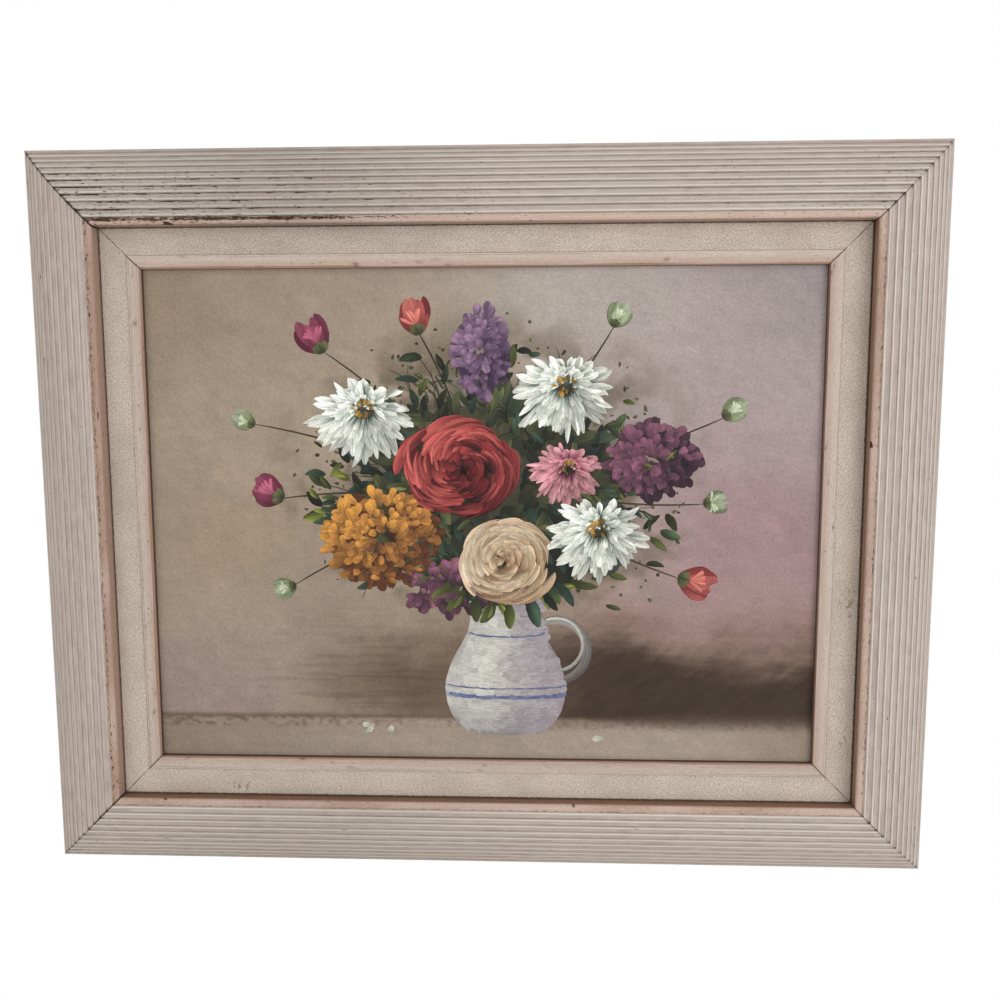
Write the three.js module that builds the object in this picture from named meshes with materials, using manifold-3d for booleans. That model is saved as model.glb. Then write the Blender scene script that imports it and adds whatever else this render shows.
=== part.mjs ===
import * as THREE from 'three';
import { mergeVertices } from 'three/addons/utils/BufferGeometryUtils.js';
import Module from 'manifold-3d';

const wasm = await Module();
wasm.setup();

// A framed oil painting that hangs on a wall, in millimetres, +Z up.
// The picture faces -Y and the wall is on its +Y side. The origin is the top of the hanger's middle
// notch, where the wall's nail bears. Depths are measured from the frame's back towards the viewer,
// and insets from a rail's outer edge towards the picture.

// Canvas and its stretcher
const canvasWidth = 406.4;
const canvasHeight = 304.8;
const canvasThickness = 0.6;
const canvasReturn = 12;
const barWidth = 35;
const barThickness = 14;
const barBead = 3;
const barBevel = 2;

// Liner: a wooden rail with linen glued on its flat and a painted fillet round the picture
const canvasOverlap = 6.1;
const canvasClearance = 1.6;
const canvasSetback = 2.95;
const filletWidth = 7.3;
const filletDrop = 2.7;
const filletRise = 0.5;
const linenWidth = 16;
const linenThickness = 0.5;
const linerThickness = 22;

// Frame moulding: a convex face of stepped reeds that climbs from the outer edge to the lip
const railWidth = 46.2;
const railSideHeight = 17.8;
const reededRise = 20.3;
const lipWidth = 4.2;
const lipCover = 6;
const rabbetClearance = 1;
const wallDrop = 9.2;
const lipDrop = 0.8;
const lipRadius = 1.2;
const outerBevel = 0.8;

// One reed, from its outer groove inwards: a sunk flute, a rounded crest and a steep step
const reedPitch = 4.5;
const outerBand = 2.5;
const grooveDepth = 0.95;
const grooveWidth = 0.35;
const fluteSink = 0.62;
const crestWidth = 1.55;
const crestShoulder = 0.35;
const crestRound = 0.2;
const stepWidth = 0.25;

// Flat steel points that hold the canvas in the liner and the liner in the frame
const pointLength = 16;
const pointWidth = 6;
const pointThickness = 0.5;
const pointBite = 7;
const pointOffsets = { long: [-110, 110], short: [0] };

// Sawtooth hanger and its two nails
const hangerLength = 46;
const hangerHeight = 8;
const hangerThickness = 0.9;
const hangerStandOff = 2.2;
const hangerTab = 7;
const hangerRamp = 2.5;
const hangerBelowTop = 16;
const toothPitch = 3.4;
const toothHeight = 2.4;
const notchWidth = 2.4;
const nailRadius = 0.8;
const nailLength = 12;
const nailHeadRadius = 2;
const nailHeadHeight = 0.7;

// Gap between pieces that touch
const contactGap = 0.3;

// Sizes that follow
const reededRun = railWidth - lipWidth;
const sightWidth = canvasWidth - 2 * canvasOverlap;
const sightHeight = canvasHeight - 2 * canvasOverlap;
const lipToSight = linenWidth + filletWidth;
const outerHeight = sightHeight + 2 * (lipToSight + railWidth);
const barFrameWidth = canvasWidth - 2 * (canvasThickness + contactGap);
const barFrameHeight = canvasHeight - 2 * (canvasThickness + contactGap);
const lipTop = railSideHeight + reededRise - lipDrop;
const linenFace = lipTop - wallDrop;
const linerFace = linenFace - linenThickness - contactGap;
const linerBack = linerFace - linerThickness;
const filletTop = linenFace + filletRise;
const filletEdge = filletTop - filletDrop;
const canvasFace = filletEdge - canvasSetback;
const barFront = canvasFace - canvasThickness - contactGap;
const barBack = barFront - barThickness;
const frameRabbetInset = railWidth - lipCover - rabbetClearance;
const filletInset = lipCover + linenWidth;
const sightInset = filletInset + filletWidth;
const linerRabbetInset = sightInset - canvasOverlap - canvasClearance;
const mitreSetBack = contactGap / 2 / Math.sin(Math.PI / 4);
const canvasPointDepth = barBack - contactGap - pointThickness;
const linerPointDepth = linerBack - contactGap - pointThickness;
const hangerTop = outerHeight / 2 - hangerBelowTop;
const notchHeight = hangerTop - hangerHeight + toothHeight;

const finish = (color, roughness, metalness = 0) =>
  new THREE.MeshStandardMaterial({ color, roughness, metalness });

const mouldingPaint = finish(0xc4b5a8, 0.6);
const linerPaint = finish(0xc9a898, 0.6);
const linenCloth = finish(0xc3b79f, 0.95);
const canvasCloth = finish(0xb5a49a, 0.55);
const barWood = finish(0xc9a778, 0.75);
const hangerSteel = finish(0xb08d4a, 0.35, 1);
const nailSteel = finish(0x9a9a98, 0.35, 1);

// Manifold needs a closed mesh with shared vertices
function toManifold(geometry) {
  const bare = geometry.clone();
  bare.deleteAttribute('normal');
  bare.deleteAttribute('uv');
  const merged = mergeVertices(bare, 1e-4);
  return new wasm.Manifold(new wasm.Mesh({
    numProp: 3,
    vertProperties: new Float32Array(merged.attributes.position.array),
    triVerts: new Uint32Array(merged.index.array),
  }));
}

function fromManifold(solid) {
  const mesh = solid.getMesh();
  const geometry = new THREE.BufferGeometry();
  geometry.setAttribute('position', new THREE.BufferAttribute(mesh.vertProperties, 3));
  geometry.setIndex(new THREE.BufferAttribute(mesh.triVerts, 1));
  const flat = geometry.toNonIndexed();
  flat.computeVertexNormals();
  return flat;
}

function cutAway(geometry, tools) {
  let solid = toManifold(geometry);
  for (const tool of tools) solid = solid.subtract(toManifold(tool));
  return fromManifold(solid);
}

// A rail along X with mitred ends. Its outer edge is at z = 0 and each profile point is (inset, depth).
// A rail's end lies as far in from the corner as its inset there, and the set-back leaves the joint's gap.
function mitredRail(profile, length) {
  const count = profile.length;
  const positions = [];
  for (const end of [-1, 1]) {
    for (const { x: inset, y: depth } of profile) {
      positions.push(end * (length / 2 - inset - mitreSetBack), -depth, -inset);
    }
  }
  const index = [];
  for (let i = 0; i < count; i += 1) {
    const next = (i + 1) % count;
    index.push(i, i + count, next, next, i + count, next + count);
  }
  for (const [a, b, c] of THREE.ShapeUtils.triangulateShape(profile, [])) {
    index.push(a, b, c, a + count, c + count, b + count);
  }
  const geometry = new THREE.BufferGeometry();
  geometry.setAttribute('position', new THREE.Float32BufferAttribute(positions, 3));
  geometry.setIndex(index);
  const flat = geometry.toNonIndexed();
  flat.computeVertexNormals();
  return flat;
}

// The profile with its points in the order that gives outward faces
function orderedProfile(points) {
  return THREE.ShapeUtils.isClockWise(points) ? points.reverse() : points;
}

// The convex face is an arc that is level at its inner end and meets the side's top at the outer edge
const arcRadius = (reededRun ** 2 + reededRise ** 2) / (2 * reededRise);
const arcLength = arcRadius * Math.asin(reededRun / arcRadius);
const reedCount = Math.floor((arcLength - outerBand) / reedPitch);

// The point that lies a run out along the arc from its inner end, sunk below it
function onArc(run, sink) {
  const angle = run / arcRadius;
  const radius = arcRadius - sink;
  const centreDepth = railSideHeight + reededRise - arcRadius;
  return new THREE.Vector2(
    reededRun - radius * Math.sin(angle),
    centreDepth + radius * Math.cos(angle),
  );
}

// One reed's points from its outer groove to just before the next groove
function reedPoints(innerRun) {
  const outerRun = innerRun + reedPitch;
  const crestInner = innerRun + stepWidth;
  const crestOuter = crestInner + crestWidth;
  return [
    onArc(outerRun, grooveDepth),
    onArc(outerRun - grooveWidth, fluteSink),
    onArc(crestOuter, fluteSink),
    onArc(crestOuter - crestShoulder, crestRound),
    onArc((crestInner + crestOuter) / 2, 0),
    onArc(crestInner, crestRound),
  ];
}

// The lip rises out of the last groove, runs flat and rounds over into the wall
function lipPoints() {
  const points = [new THREE.Vector2(reededRun + 2 * grooveWidth, lipTop)];
  const roundSteps = 4;
  for (let i = 0; i <= roundSteps; i += 1) {
    const angle = (Math.PI / 2) * (i / roundSteps);
    points.push(new THREE.Vector2(
      railWidth - lipRadius + lipRadius * Math.sin(angle),
      lipTop - lipRadius + lipRadius * Math.cos(angle),
    ));
  }
  return points;
}

// From the back's outer corner over the face to the lip, and back under it by the rabbet
function frameProfile() {
  const points = [
    new THREE.Vector2(0, 0),
    new THREE.Vector2(0, railSideHeight - outerBevel),
    onArc(arcLength - outerBevel, 0),
  ];
  for (let reed = reedCount - 1; reed >= 0; reed -= 1) {
    points.push(...reedPoints(reed * reedPitch));
  }
  points.push(
    onArc(0, grooveDepth),
    ...lipPoints(),
    new THREE.Vector2(railWidth, linenFace + contactGap),
    new THREE.Vector2(frameRabbetInset, linenFace + contactGap),
    new THREE.Vector2(frameRabbetInset, 0),
  );
  return orderedProfile(points);
}

// The liner's flat carries the linen, and the fillet beside it swells a little as it slopes to the picture
function linerProfile() {
  const points = [
    new THREE.Vector2(0, linerBack),
    new THREE.Vector2(0, linerFace),
    new THREE.Vector2(filletInset, linerFace),
  ];
  const filletSteps = 6;
  for (let i = 0; i <= filletSteps; i += 1) {
    const across = i / filletSteps;
    const swell = 1 - Math.cos((Math.PI / 2) * across);
    points.push(new THREE.Vector2(
      filletInset + filletWidth * across,
      filletTop - (filletDrop * (across + swell)) / 2,
    ));
  }
  points.push(
    new THREE.Vector2(sightInset, canvasFace + contactGap),
    new THREE.Vector2(linerRabbetInset, canvasFace + contactGap),
    new THREE.Vector2(linerRabbetInset, linerBack),
  );
  return orderedProfile(points);
}

function linenProfile() {
  const inner = filletInset - contactGap;
  return orderedProfile([
    new THREE.Vector2(0, linenFace - linenThickness),
    new THREE.Vector2(0, linenFace),
    new THREE.Vector2(inner, linenFace),
    new THREE.Vector2(inner, linenFace - linenThickness),
  ]);
}

// The bar's front slopes away behind a narrow bead, so the canvas touches only its outer edge
function barProfile() {
  return orderedProfile([
    new THREE.Vector2(0, barBack),
    new THREE.Vector2(0, barFront),
    new THREE.Vector2(barBead, barFront),
    new THREE.Vector2(barWidth, barFront - barBevel),
    new THREE.Vector2(barWidth, barBack),
  ]);
}

// A flat strip with a pointed outer end, which bites into a rail's rabbet wall at z = 0
function pointGeometry(clearance) {
  const half = pointWidth / 2 + clearance;
  const outer = pointBite + clearance;
  const inner = pointBite - pointLength - clearance;
  const shape = new THREE.Shape([
    new THREE.Vector2(0, outer),
    new THREE.Vector2(-half, outer - half),
    new THREE.Vector2(-half, inner),
    new THREE.Vector2(half, inner),
    new THREE.Vector2(half, outer - half),
  ]);
  const depth = pointThickness + 2 * clearance;
  const geometry = new THREE.ExtrudeGeometry(shape, { depth, bevelEnabled: false });
  geometry.rotateX(Math.PI / 2);
  geometry.translate(0, clearance, 0);
  return geometry;
}

// The slots that a rail's points sit in, as solids to cut away
function pointSlots(offsets, wallInset, depth) {
  return offsets.map((offset) => (
    pointGeometry(contactGap).translate(offset, -depth, -wallInset)
  ));
}

// A nail along Y with its head on the wall's side and y = 0 under the head
function nailGeometry(clearance) {
  const radius = nailRadius + clearance;
  const segments = 12;
  const profile = [
    new THREE.Vector2(0, -nailLength - clearance),
    new THREE.Vector2(radius, -nailLength + 2 * nailRadius),
    new THREE.Vector2(radius, 0),
    new THREE.Vector2(nailHeadRadius, 0),
    new THREE.Vector2(nailHeadRadius, nailHeadHeight),
    new THREE.Vector2(0, nailHeadHeight),
  ];
  return new THREE.LatheGeometry(profile, segments);
}

// The strip's outline from above: tabs on the frame's back and a raised middle
function hangerStrip() {
  const half = hangerLength / 2;
  const bends = [
    [half, contactGap],
    [half - hangerTab, contactGap],
    [half - hangerTab - hangerRamp, hangerStandOff],
  ];
  const inner = [
    ...bends.map(([x, y]) => new THREE.Vector2(x, y)),
    ...bends.toReversed().map(([x, y]) => new THREE.Vector2(-x, y)),
  ];
  const outer = inner.toReversed().map(({ x, y }) => new THREE.Vector2(x, y + hangerThickness));
  const geometry = new THREE.ExtrudeGeometry(new THREE.Shape([...inner, ...outer]), {
    depth: hangerHeight,
    bevelEnabled: false,
  });
  return geometry.translate(0, 0, -hangerHeight);
}

// The strip's outline from behind: teeth along the lower edge and a flat notch in the middle
function hangerTeeth() {
  const half = hangerLength / 2;
  const raisedHalf = half - hangerTab - hangerRamp;
  const teeth = Math.floor((raisedHalf - notchWidth / 2) / toothPitch - 0.5);
  const right = [new THREE.Vector2(notchWidth / 2, toothHeight - hangerHeight)];
  for (let i = 0; i <= teeth; i += 1) {
    const valley = notchWidth / 2 + i * toothPitch;
    if (i > 0) right.push(new THREE.Vector2(valley, toothHeight - hangerHeight));
    right.push(new THREE.Vector2(valley + toothPitch / 2, -hangerHeight));
  }
  right.push(new THREE.Vector2(half, -hangerHeight), new THREE.Vector2(half, 0));
  const left = right.toReversed().map(({ x, y }) => new THREE.Vector2(-x, y));
  const depth = hangerStandOff + 2 * hangerThickness;
  const geometry = new THREE.ExtrudeGeometry(new THREE.Shape([...right, ...left]), {
    depth,
    bevelEnabled: false,
  });
  geometry.rotateX(Math.PI / 2);
  return geometry.translate(0, depth, 0);
}

function hangerGeometry() {
  let solid = toManifold(hangerStrip()).intersect(toManifold(hangerTeeth()));
  for (const x of nailPlaces) {
    const hole = new THREE.CylinderGeometry(
      nailRadius + contactGap,
      nailRadius + contactGap,
      4 * hangerThickness,
      12,
    );
    solid = solid.subtract(toManifold(hole.translate(x, 0, -hangerHeight / 2)));
  }
  return fromManifold(solid);
}

// The cloth is a shallow tray: its front is the picture and its edges turn back over the bars
function canvasGeometry() {
  const depth = canvasThickness + canvasReturn;
  const outside = new THREE.BoxGeometry(canvasWidth, depth, canvasHeight);
  const inside = new THREE.BoxGeometry(
    canvasWidth - 2 * canvasThickness,
    depth,
    canvasHeight - 2 * canvasThickness,
  );
  inside.translate(0, canvasThickness, 0);
  return cutAway(outside, [inside]).translate(0, depth / 2, 0);
}

function addMesh(parent, name, geometry, material, x, y, z) {
  const mesh = new THREE.Mesh(geometry, material);
  mesh.name = name;
  mesh.position.set(x, y, z);
  parent.add(mesh);
}

// The rail and its points' slots, and a top rail's nail holes
function frameRail(side) {
  const tools = pointSlots(side.offsets, frameRabbetInset, linerPointDepth);
  if (side.name === 'top') {
    for (const x of nailPlaces) {
      const z = hangerTop - hangerHeight / 2 - side.frameEdge;
      tools.push(nailGeometry(contactGap).translate(x, nailSeat, z));
    }
  }
  return cutAway(mitredRail(frameProfile(), side.frameLength), tools);
}

function addSide(parent, side) {
  const group = new THREE.Group();
  group.rotation.y = side.turn;
  parent.add(group);
  const { name } = side;
  const linerEdge = side.sightEdge + sightInset;
  const linerWall = linerEdge - linerRabbetInset;
  const frameWall = side.frameEdge - frameRabbetInset;
  const liner = cutAway(
    mitredRail(linerProfile(), side.linerLength),
    pointSlots(side.offsets, linerRabbetInset, canvasPointDepth),
  );
  addMesh(group, `frame_rail_${name}`, frameRail(side), mouldingPaint, 0, 0, side.frameEdge);
  addMesh(group, `liner_rail_${name}`, liner, linerPaint, 0, 0, linerEdge);
  addMesh(group, `liner_linen_${name}`, mitredRail(linenProfile(), side.linerLength),
    linenCloth, 0, 0, linerEdge);
  addMesh(group, `stretcher_bar_${name}`, mitredRail(barProfile(), side.barLength),
    barWood, 0, 0, side.barEdge);
  side.offsets.forEach((offset, i) => {
    addMesh(group, `canvas_point_${name}_${i + 1}`, pointGeometry(0), nailSteel,
      offset, -canvasPointDepth, linerWall);
    addMesh(group, `liner_point_${name}_${i + 1}`, pointGeometry(0), nailSteel,
      offset, -linerPointDepth, frameWall);
  });
}

// Long sides run along X and short sides along Z
function sideOf(name, turn, along, across) {
  const margin = lipToSight + railWidth;
  return {
    name,
    turn,
    frameLength: along.sight + 2 * margin,
    frameEdge: across.sight / 2 + margin,
    sightEdge: across.sight / 2,
    linerLength: along.sight + 2 * sightInset,
    barLength: along.bars,
    barEdge: across.bars / 2,
    offsets: along.offsets,
  };
}

const width = { sight: sightWidth, bars: barFrameWidth, offsets: pointOffsets.long };
const height = { sight: sightHeight, bars: barFrameHeight, offsets: pointOffsets.short };
const nailPlaces = [-1, 1].map((end) => end * (hangerLength - hangerTab) / 2);
const nailSeat = hangerThickness + 2 * contactGap;

const picture = new THREE.Group();
picture.position.set(0, -(hangerStandOff + hangerThickness / 2), -notchHeight);

addSide(picture, sideOf('top', 0, width, height));
addSide(picture, sideOf('bottom', Math.PI, width, height));
addSide(picture, sideOf('left', -Math.PI / 2, height, width));
addSide(picture, sideOf('right', Math.PI / 2, height, width));
addMesh(picture, 'canvas', canvasGeometry(), canvasCloth, 0, -canvasFace, 0);
addMesh(picture, 'sawtooth_hanger', hangerGeometry(), hangerSteel, 0, 0, hangerTop);
['left', 'right'].forEach((name, i) => {
  addMesh(picture, `hanger_nail_${name}`, nailGeometry(0), nailSteel,
    nailPlaces[i], nailSeat, hangerTop - hangerHeight / 2);
});

const object = new THREE.Group();
object.add(picture);

export default object;
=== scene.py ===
import math

import bpy
import numpy as np
from mathutils import Euler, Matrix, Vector
from mathutils.geometry import tessellate_polygon


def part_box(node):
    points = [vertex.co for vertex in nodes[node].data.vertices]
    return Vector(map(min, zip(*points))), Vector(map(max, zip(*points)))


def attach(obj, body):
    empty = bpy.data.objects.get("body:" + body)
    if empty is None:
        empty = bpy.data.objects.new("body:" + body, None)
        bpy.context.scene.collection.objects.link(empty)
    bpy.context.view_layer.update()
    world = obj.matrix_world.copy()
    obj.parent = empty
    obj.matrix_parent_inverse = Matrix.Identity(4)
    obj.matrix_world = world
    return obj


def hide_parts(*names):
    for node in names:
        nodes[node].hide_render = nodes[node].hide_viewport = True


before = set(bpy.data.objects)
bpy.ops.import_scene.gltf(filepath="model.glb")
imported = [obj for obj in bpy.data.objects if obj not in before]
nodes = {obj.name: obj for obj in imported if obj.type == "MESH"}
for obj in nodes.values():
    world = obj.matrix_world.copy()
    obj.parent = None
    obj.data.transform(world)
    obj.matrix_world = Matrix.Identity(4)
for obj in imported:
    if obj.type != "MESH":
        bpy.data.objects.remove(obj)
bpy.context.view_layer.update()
millimetre = 0.001

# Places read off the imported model, in metres. The picture faces -Y and depths grow towards the viewer
frameLow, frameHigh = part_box("frame_rail_top")
sideLow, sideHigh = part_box("frame_rail_left")
linerLow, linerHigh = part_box("liner_rail_top")
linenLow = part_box("liner_linen_top")[0]
canvasLow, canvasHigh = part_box("canvas")
centreX = (canvasLow.x + canvasHigh.x) / 2
centreZ = (canvasLow.z + canvasHigh.z) / 2
backY = frameHigh.y
print("frame loaded: picture centre", round(centreX, 4), round(centreZ, 4))


# Camera, where the photograph was taken from: a little above and to the right of the middle
camera = dict(
    lens=34.03, sensor=36.0,                # mm
    place=(0.033409, -0.579657, -0.119004), # m, in the row's frame
    tilt=83.4665, turn=2.3118, roll=0.1496, # degrees: down from level, to the left, and clockwise
)


def setCamera(values):
    data = bpy.data.cameras.new("camera")
    data.lens = values["lens"]
    data.sensor_width = values["sensor"]
    data.clip_start = 0.01
    body = bpy.data.objects.new("camera", data)
    body.location = values["place"]
    turned = Euler((math.radians(values["tilt"]), math.radians(values["roll"]),
                    math.radians(values["turn"])))
    body.rotation_euler = turned
    bpy.context.scene.collection.objects.link(body)
    bpy.context.scene.camera = body


setCamera(camera)
print("camera set")


# Shader maths: a socket whose arithmetic adds Math nodes to its tree
class Field:
    def __init__(self, finish, socket):
        self.finish = finish
        self.socket = socket

    def maths(self, operation, *others):
        return self.finish.node("ShaderNodeMath", {"operation": operation},
                                dict(enumerate((self, *others))))

    def __add__(self, other):
        return self.maths("ADD", other)

    def __radd__(self, other):
        return self.maths("ADD", other)

    def __sub__(self, other):
        return self.maths("SUBTRACT", other)

    def __rsub__(self, other):
        return self.finish.node("ShaderNodeMath", {"operation": "SUBTRACT"}, {0: other, 1: self})

    def __mul__(self, other):
        return self.maths("MULTIPLY", other)

    def __rmul__(self, other):
        return self.maths("MULTIPLY", other)

    def between(self, low, high):  # 0 under low, 1 over high, smooth between
        inputs = {"Value": self, "From Min": low, "From Max": high}
        return self.finish.node("ShaderNodeMapRange", {"interpolation_type": "SMOOTHSTEP"}, inputs)


# A material whose nodes come from one method
class Finish:
    def __init__(self, name, **fixed):
        self.material = bpy.data.materials.new(name)
        self.material.use_nodes = True
        self.tree = self.material.node_tree
        self.shader = self.tree.nodes["Principled BSDF"]
        for socket, value in fixed.items():
            self.shader.inputs[socket.replace("_", " ")].default_value = value

    def fill(self, socket, value):
        if isinstance(value, Field):
            self.tree.links.new(value.socket, socket)
        else:
            socket.default_value = (*value, 1.0) if socket.type == "RGBA" else value

    def node(self, kind, settings=None, inputs=None, output=0):
        made = self.tree.nodes.new(kind)
        for key, value in (settings or {}).items():
            setattr(made, key, value)
        for key, value in (inputs or {}).items():
            self.fill(made.inputs[key], value)
        return Field(self, made.outputs[output])

    def attribute(self, name, output="Fac"):
        return self.node("ShaderNodeAttribute", {"attribute_name": name}, output=output)

    def attributes(self, names):
        return [self.attribute(name) for name in names.split()]

    def place(self, along=1.0, across=1.0, deep=1.0, source="UV"):  # coordinates times a count per metre
        where = self.node("ShaderNodeTexCoord", output=source)
        scaled = {0: where, 1: (along, across, deep)}
        return self.node("ShaderNodeVectorMath", {"operation": "MULTIPLY"}, scaled)

    def noise(self, where, scale=1.0, detail=2.0, rough=0.5, output="Fac"):
        inputs = {"Vector": where, "Scale": scale, "Detail": detail, "Roughness": rough}
        return self.node("ShaderNodeTexNoise", None, inputs, output)

    def spread(self, along, across, detail, rough):  # noise of this many spots per metre
        return self.noise(self.place(along, across), 1.0, detail, rough)

    def cloud(self, count, detail, rough):  # the same, through the solid
        return self.noise(self.place(count, count, count, "Object"), 1.0, detail, rough)

    def mix(self, factor, first, second):
        inputs = {0: factor, 6: first, 7: second}
        return self.node("ShaderNodeMix", {"data_type": "RGBA"}, inputs, 2)

    def coats(self, paints, colour, *layers):  # coats of named paints, each with its mask, one over another
        for name, mask in layers:
            colour = self.mix(mask, colour, paints[name])
        return colour

    def tint(self, colour, factor):  # a colour times a number
        grey = self.node("ShaderNodeCombineXYZ", None, {0: factor, 1: factor, 2: factor})
        return self.node("ShaderNodeVectorMath", {"operation": "MULTIPLY"}, {0: colour, 1: grey})

    def weave(self, along, across, jitter=0.35, source="UV"):  # over and under threads, from two waves
        where = self.place(along, across, across, source)
        drift = self.noise(where, 0.35, 2.0, output="Color")
        moved = self.node("ShaderNodeVectorMath", {"operation": "MULTIPLY_ADD"},
                          {0: drift, 1: (jitter, jitter, jitter), 2: where})
        parts = self.node("ShaderNodeSeparateXYZ", None, {0: moved})
        x, y = (Field(self, parts.socket.node.outputs[i]) for i in (0, 1 if source == "UV" else 2))
        warp, weft = (x * math.pi).maths("SINE"), (y * math.pi).maths("SINE")
        over = (x * math.pi).maths("COSINE") * (y * math.pi).maths("COSINE")
        return (warp * warp) * (over * 0.5 + 0.5) + (weft * weft) * (over * -0.5 + 0.5)

    def finishWith(self, colour, roughness=None, height=None, relief=0.0):
        self.fill(self.shader.inputs["Base Color"], colour)
        if roughness is not None:
            self.fill(self.shader.inputs["Roughness"], roughness)
        if height is not None:
            bump = self.node("ShaderNodeBump", None,
                             {"Height": height, "Distance": relief, "Strength": 1.0})
            self.fill(self.shader.inputs["Normal"], bump)
        return self.material


# The lamps and the white surround light a surface this much brighter than its own colour
studioLevel = 1.16


def linear(colour):  # colours as they should show, 0 to 255, as the linear colours that surfaces hold
    value = np.clip(colour, 0, 255) / 255.0
    return np.where(value <= 0.04045, value / 12.92, ((value + 0.055) / 1.055) ** 2.4) / studioLevel


def light(red, green, blue):
    return tuple(float(v) for v in linear(np.array([red, green, blue], float)))


# Value noise on whole arrays: lattice values from a sine, joined by smooth steps, in rising octaves
def lattice(x, y, seed):
    raw = np.sin(x * 127.1 + y * 311.7 + seed * 74.7) * 43758.5453
    return raw - np.floor(raw)


def noise(x, y, seed=0, octaves=1):
    total, weight, size = 0.0, 1.0, 0.0
    for octave in range(octaves):
        left, low = np.floor(x), np.floor(y)
        u, v = x - left, y - low
        u, v = u * u * (3 - 2 * u), v * v * (3 - 2 * v)
        key = seed + 17.0 * octave
        bottom = lattice(left, low, key) * (1 - u) + lattice(left + 1, low, key) * u
        top = lattice(left, low + 1, key) * (1 - u) + lattice(left + 1, low + 1, key) * u
        total = total + weight * (bottom * (1 - v) + top * v)
        size += weight
        weight *= 0.5
        x, y = x * 2.03 + 5.7, y * 2.03 + 1.9
    return total / size


def wobble(x, z, seed=0, octaves=1):  # noise about nought
    return noise(x, z, seed, octaves) - 0.5


def smooth(low, high, value):
    t = np.clip((value - low) / (high - low), 0, 1)
    return t * t * (3 - 2 * t)


def blend(first, second, mask):  # two colours by a mask of any shape
    first = np.asarray(first, float)
    return first + (second - first) * np.clip(mask, 0, 1)[..., None]


def coats(paints, colour, *layers):  # as a finish's coats, on arrays
    for name, mask in layers:
        colour = blend(colour, paints[name], mask)
    return colour


def bump(x, z, x0, z0, rx, rz):  # a soft oval: 1 at its middle
    return np.exp(-((x - x0) / rx) ** 2 - ((z - z0) / rz) ** 2)


# A mesh object from whole arrays: faces is a list of (count, corners) index arrays
def makePiece(name, points, faces, finish, values=None, colours=None, uv=None, sharp=40):
    mesh = bpy.data.meshes.new(name)
    mesh.vertices.add(len(points))
    mesh.vertices.foreach_set("co", np.asarray(points, np.float32).ravel())
    corners = np.concatenate([f.ravel() for f in faces]).astype(np.int32)
    counts = np.concatenate([np.full(len(f), f.shape[1]) for f in faces])
    starts = np.concatenate([[0], np.cumsum(counts)[:-1]]).astype(np.int32)
    mesh.loops.add(len(corners))
    mesh.loops.foreach_set("vertex_index", corners)
    mesh.polygons.add(len(counts))
    mesh.polygons.foreach_set("loop_start", starts)
    mesh.update(calc_edges=True)
    mesh.polygons.foreach_set("use_smooth", np.ones(len(counts), bool))
    if sharp:
        mesh.set_sharp_from_angle(angle=math.radians(sharp))
    for key, value in (values or {}).items():
        data = mesh.attributes.new(key, "FLOAT", "POINT").data
        data.foreach_set("value", np.asarray(value, np.float32).ravel())
    if colours is not None:
        rgba = np.concatenate([colours, np.ones((len(colours), 1))], 1)
        paint = mesh.color_attributes.new("paint", "FLOAT_COLOR", "POINT")
        paint.data.foreach_set("color", rgba.astype(np.float32).ravel())
    if uv is not None:
        layer = mesh.uv_layers.new(name="surface")
        layer.data.foreach_set("uv", np.asarray(uv, np.float32)[corners].ravel())
    mesh.materials.append(finish)
    piece = bpy.data.objects.new(name, mesh)
    bpy.context.scene.collection.objects.link(piece)
    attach(piece, "root")
    return piece


# Quads of a grid of points that face the way of row direction cross
# column direction; wrap joins last row to first
def gridFaces(rows, columns, wrap=False):
    i = np.arange(rows if wrap else rows - 1)[:, None]
    j = np.arange(columns - 1)[None, :]
    down = (i + 1) % rows
    quads = np.stack(np.broadcast_arrays(i * columns + j, down * columns + j,
                                         down * columns + j + 1, i * columns + j + 1), -1)
    return quads.reshape(-1, 4)


# The four sides: each is a rail along X with its outer edge up, turned about Y into place
outerHalf = dict(x=frameHigh.x, z=frameHigh.z - centreZ)
sides = dict(
    top=dict(turn=0.0, along="x", across="z", shift=0.0),
    right=dict(turn=90.0, along="z", across="x", shift=1.3),
    bottom=dict(turn=180.0, along="x", across="z", shift=2.9),
    left=dict(turn=-90.0, along="z", across="x", shift=4.1),
)


def turnSide(along, depth, inset, half, degrees):  # rail coordinates in metres to the row's frame
    out = half - inset
    turn = math.radians(degrees)
    x = along * math.cos(turn) + out * math.sin(turn)
    z = out * math.cos(turn) - along * math.sin(turn)
    return np.stack([x + centreX, backY - depth, z + centreZ], -1)


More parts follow.
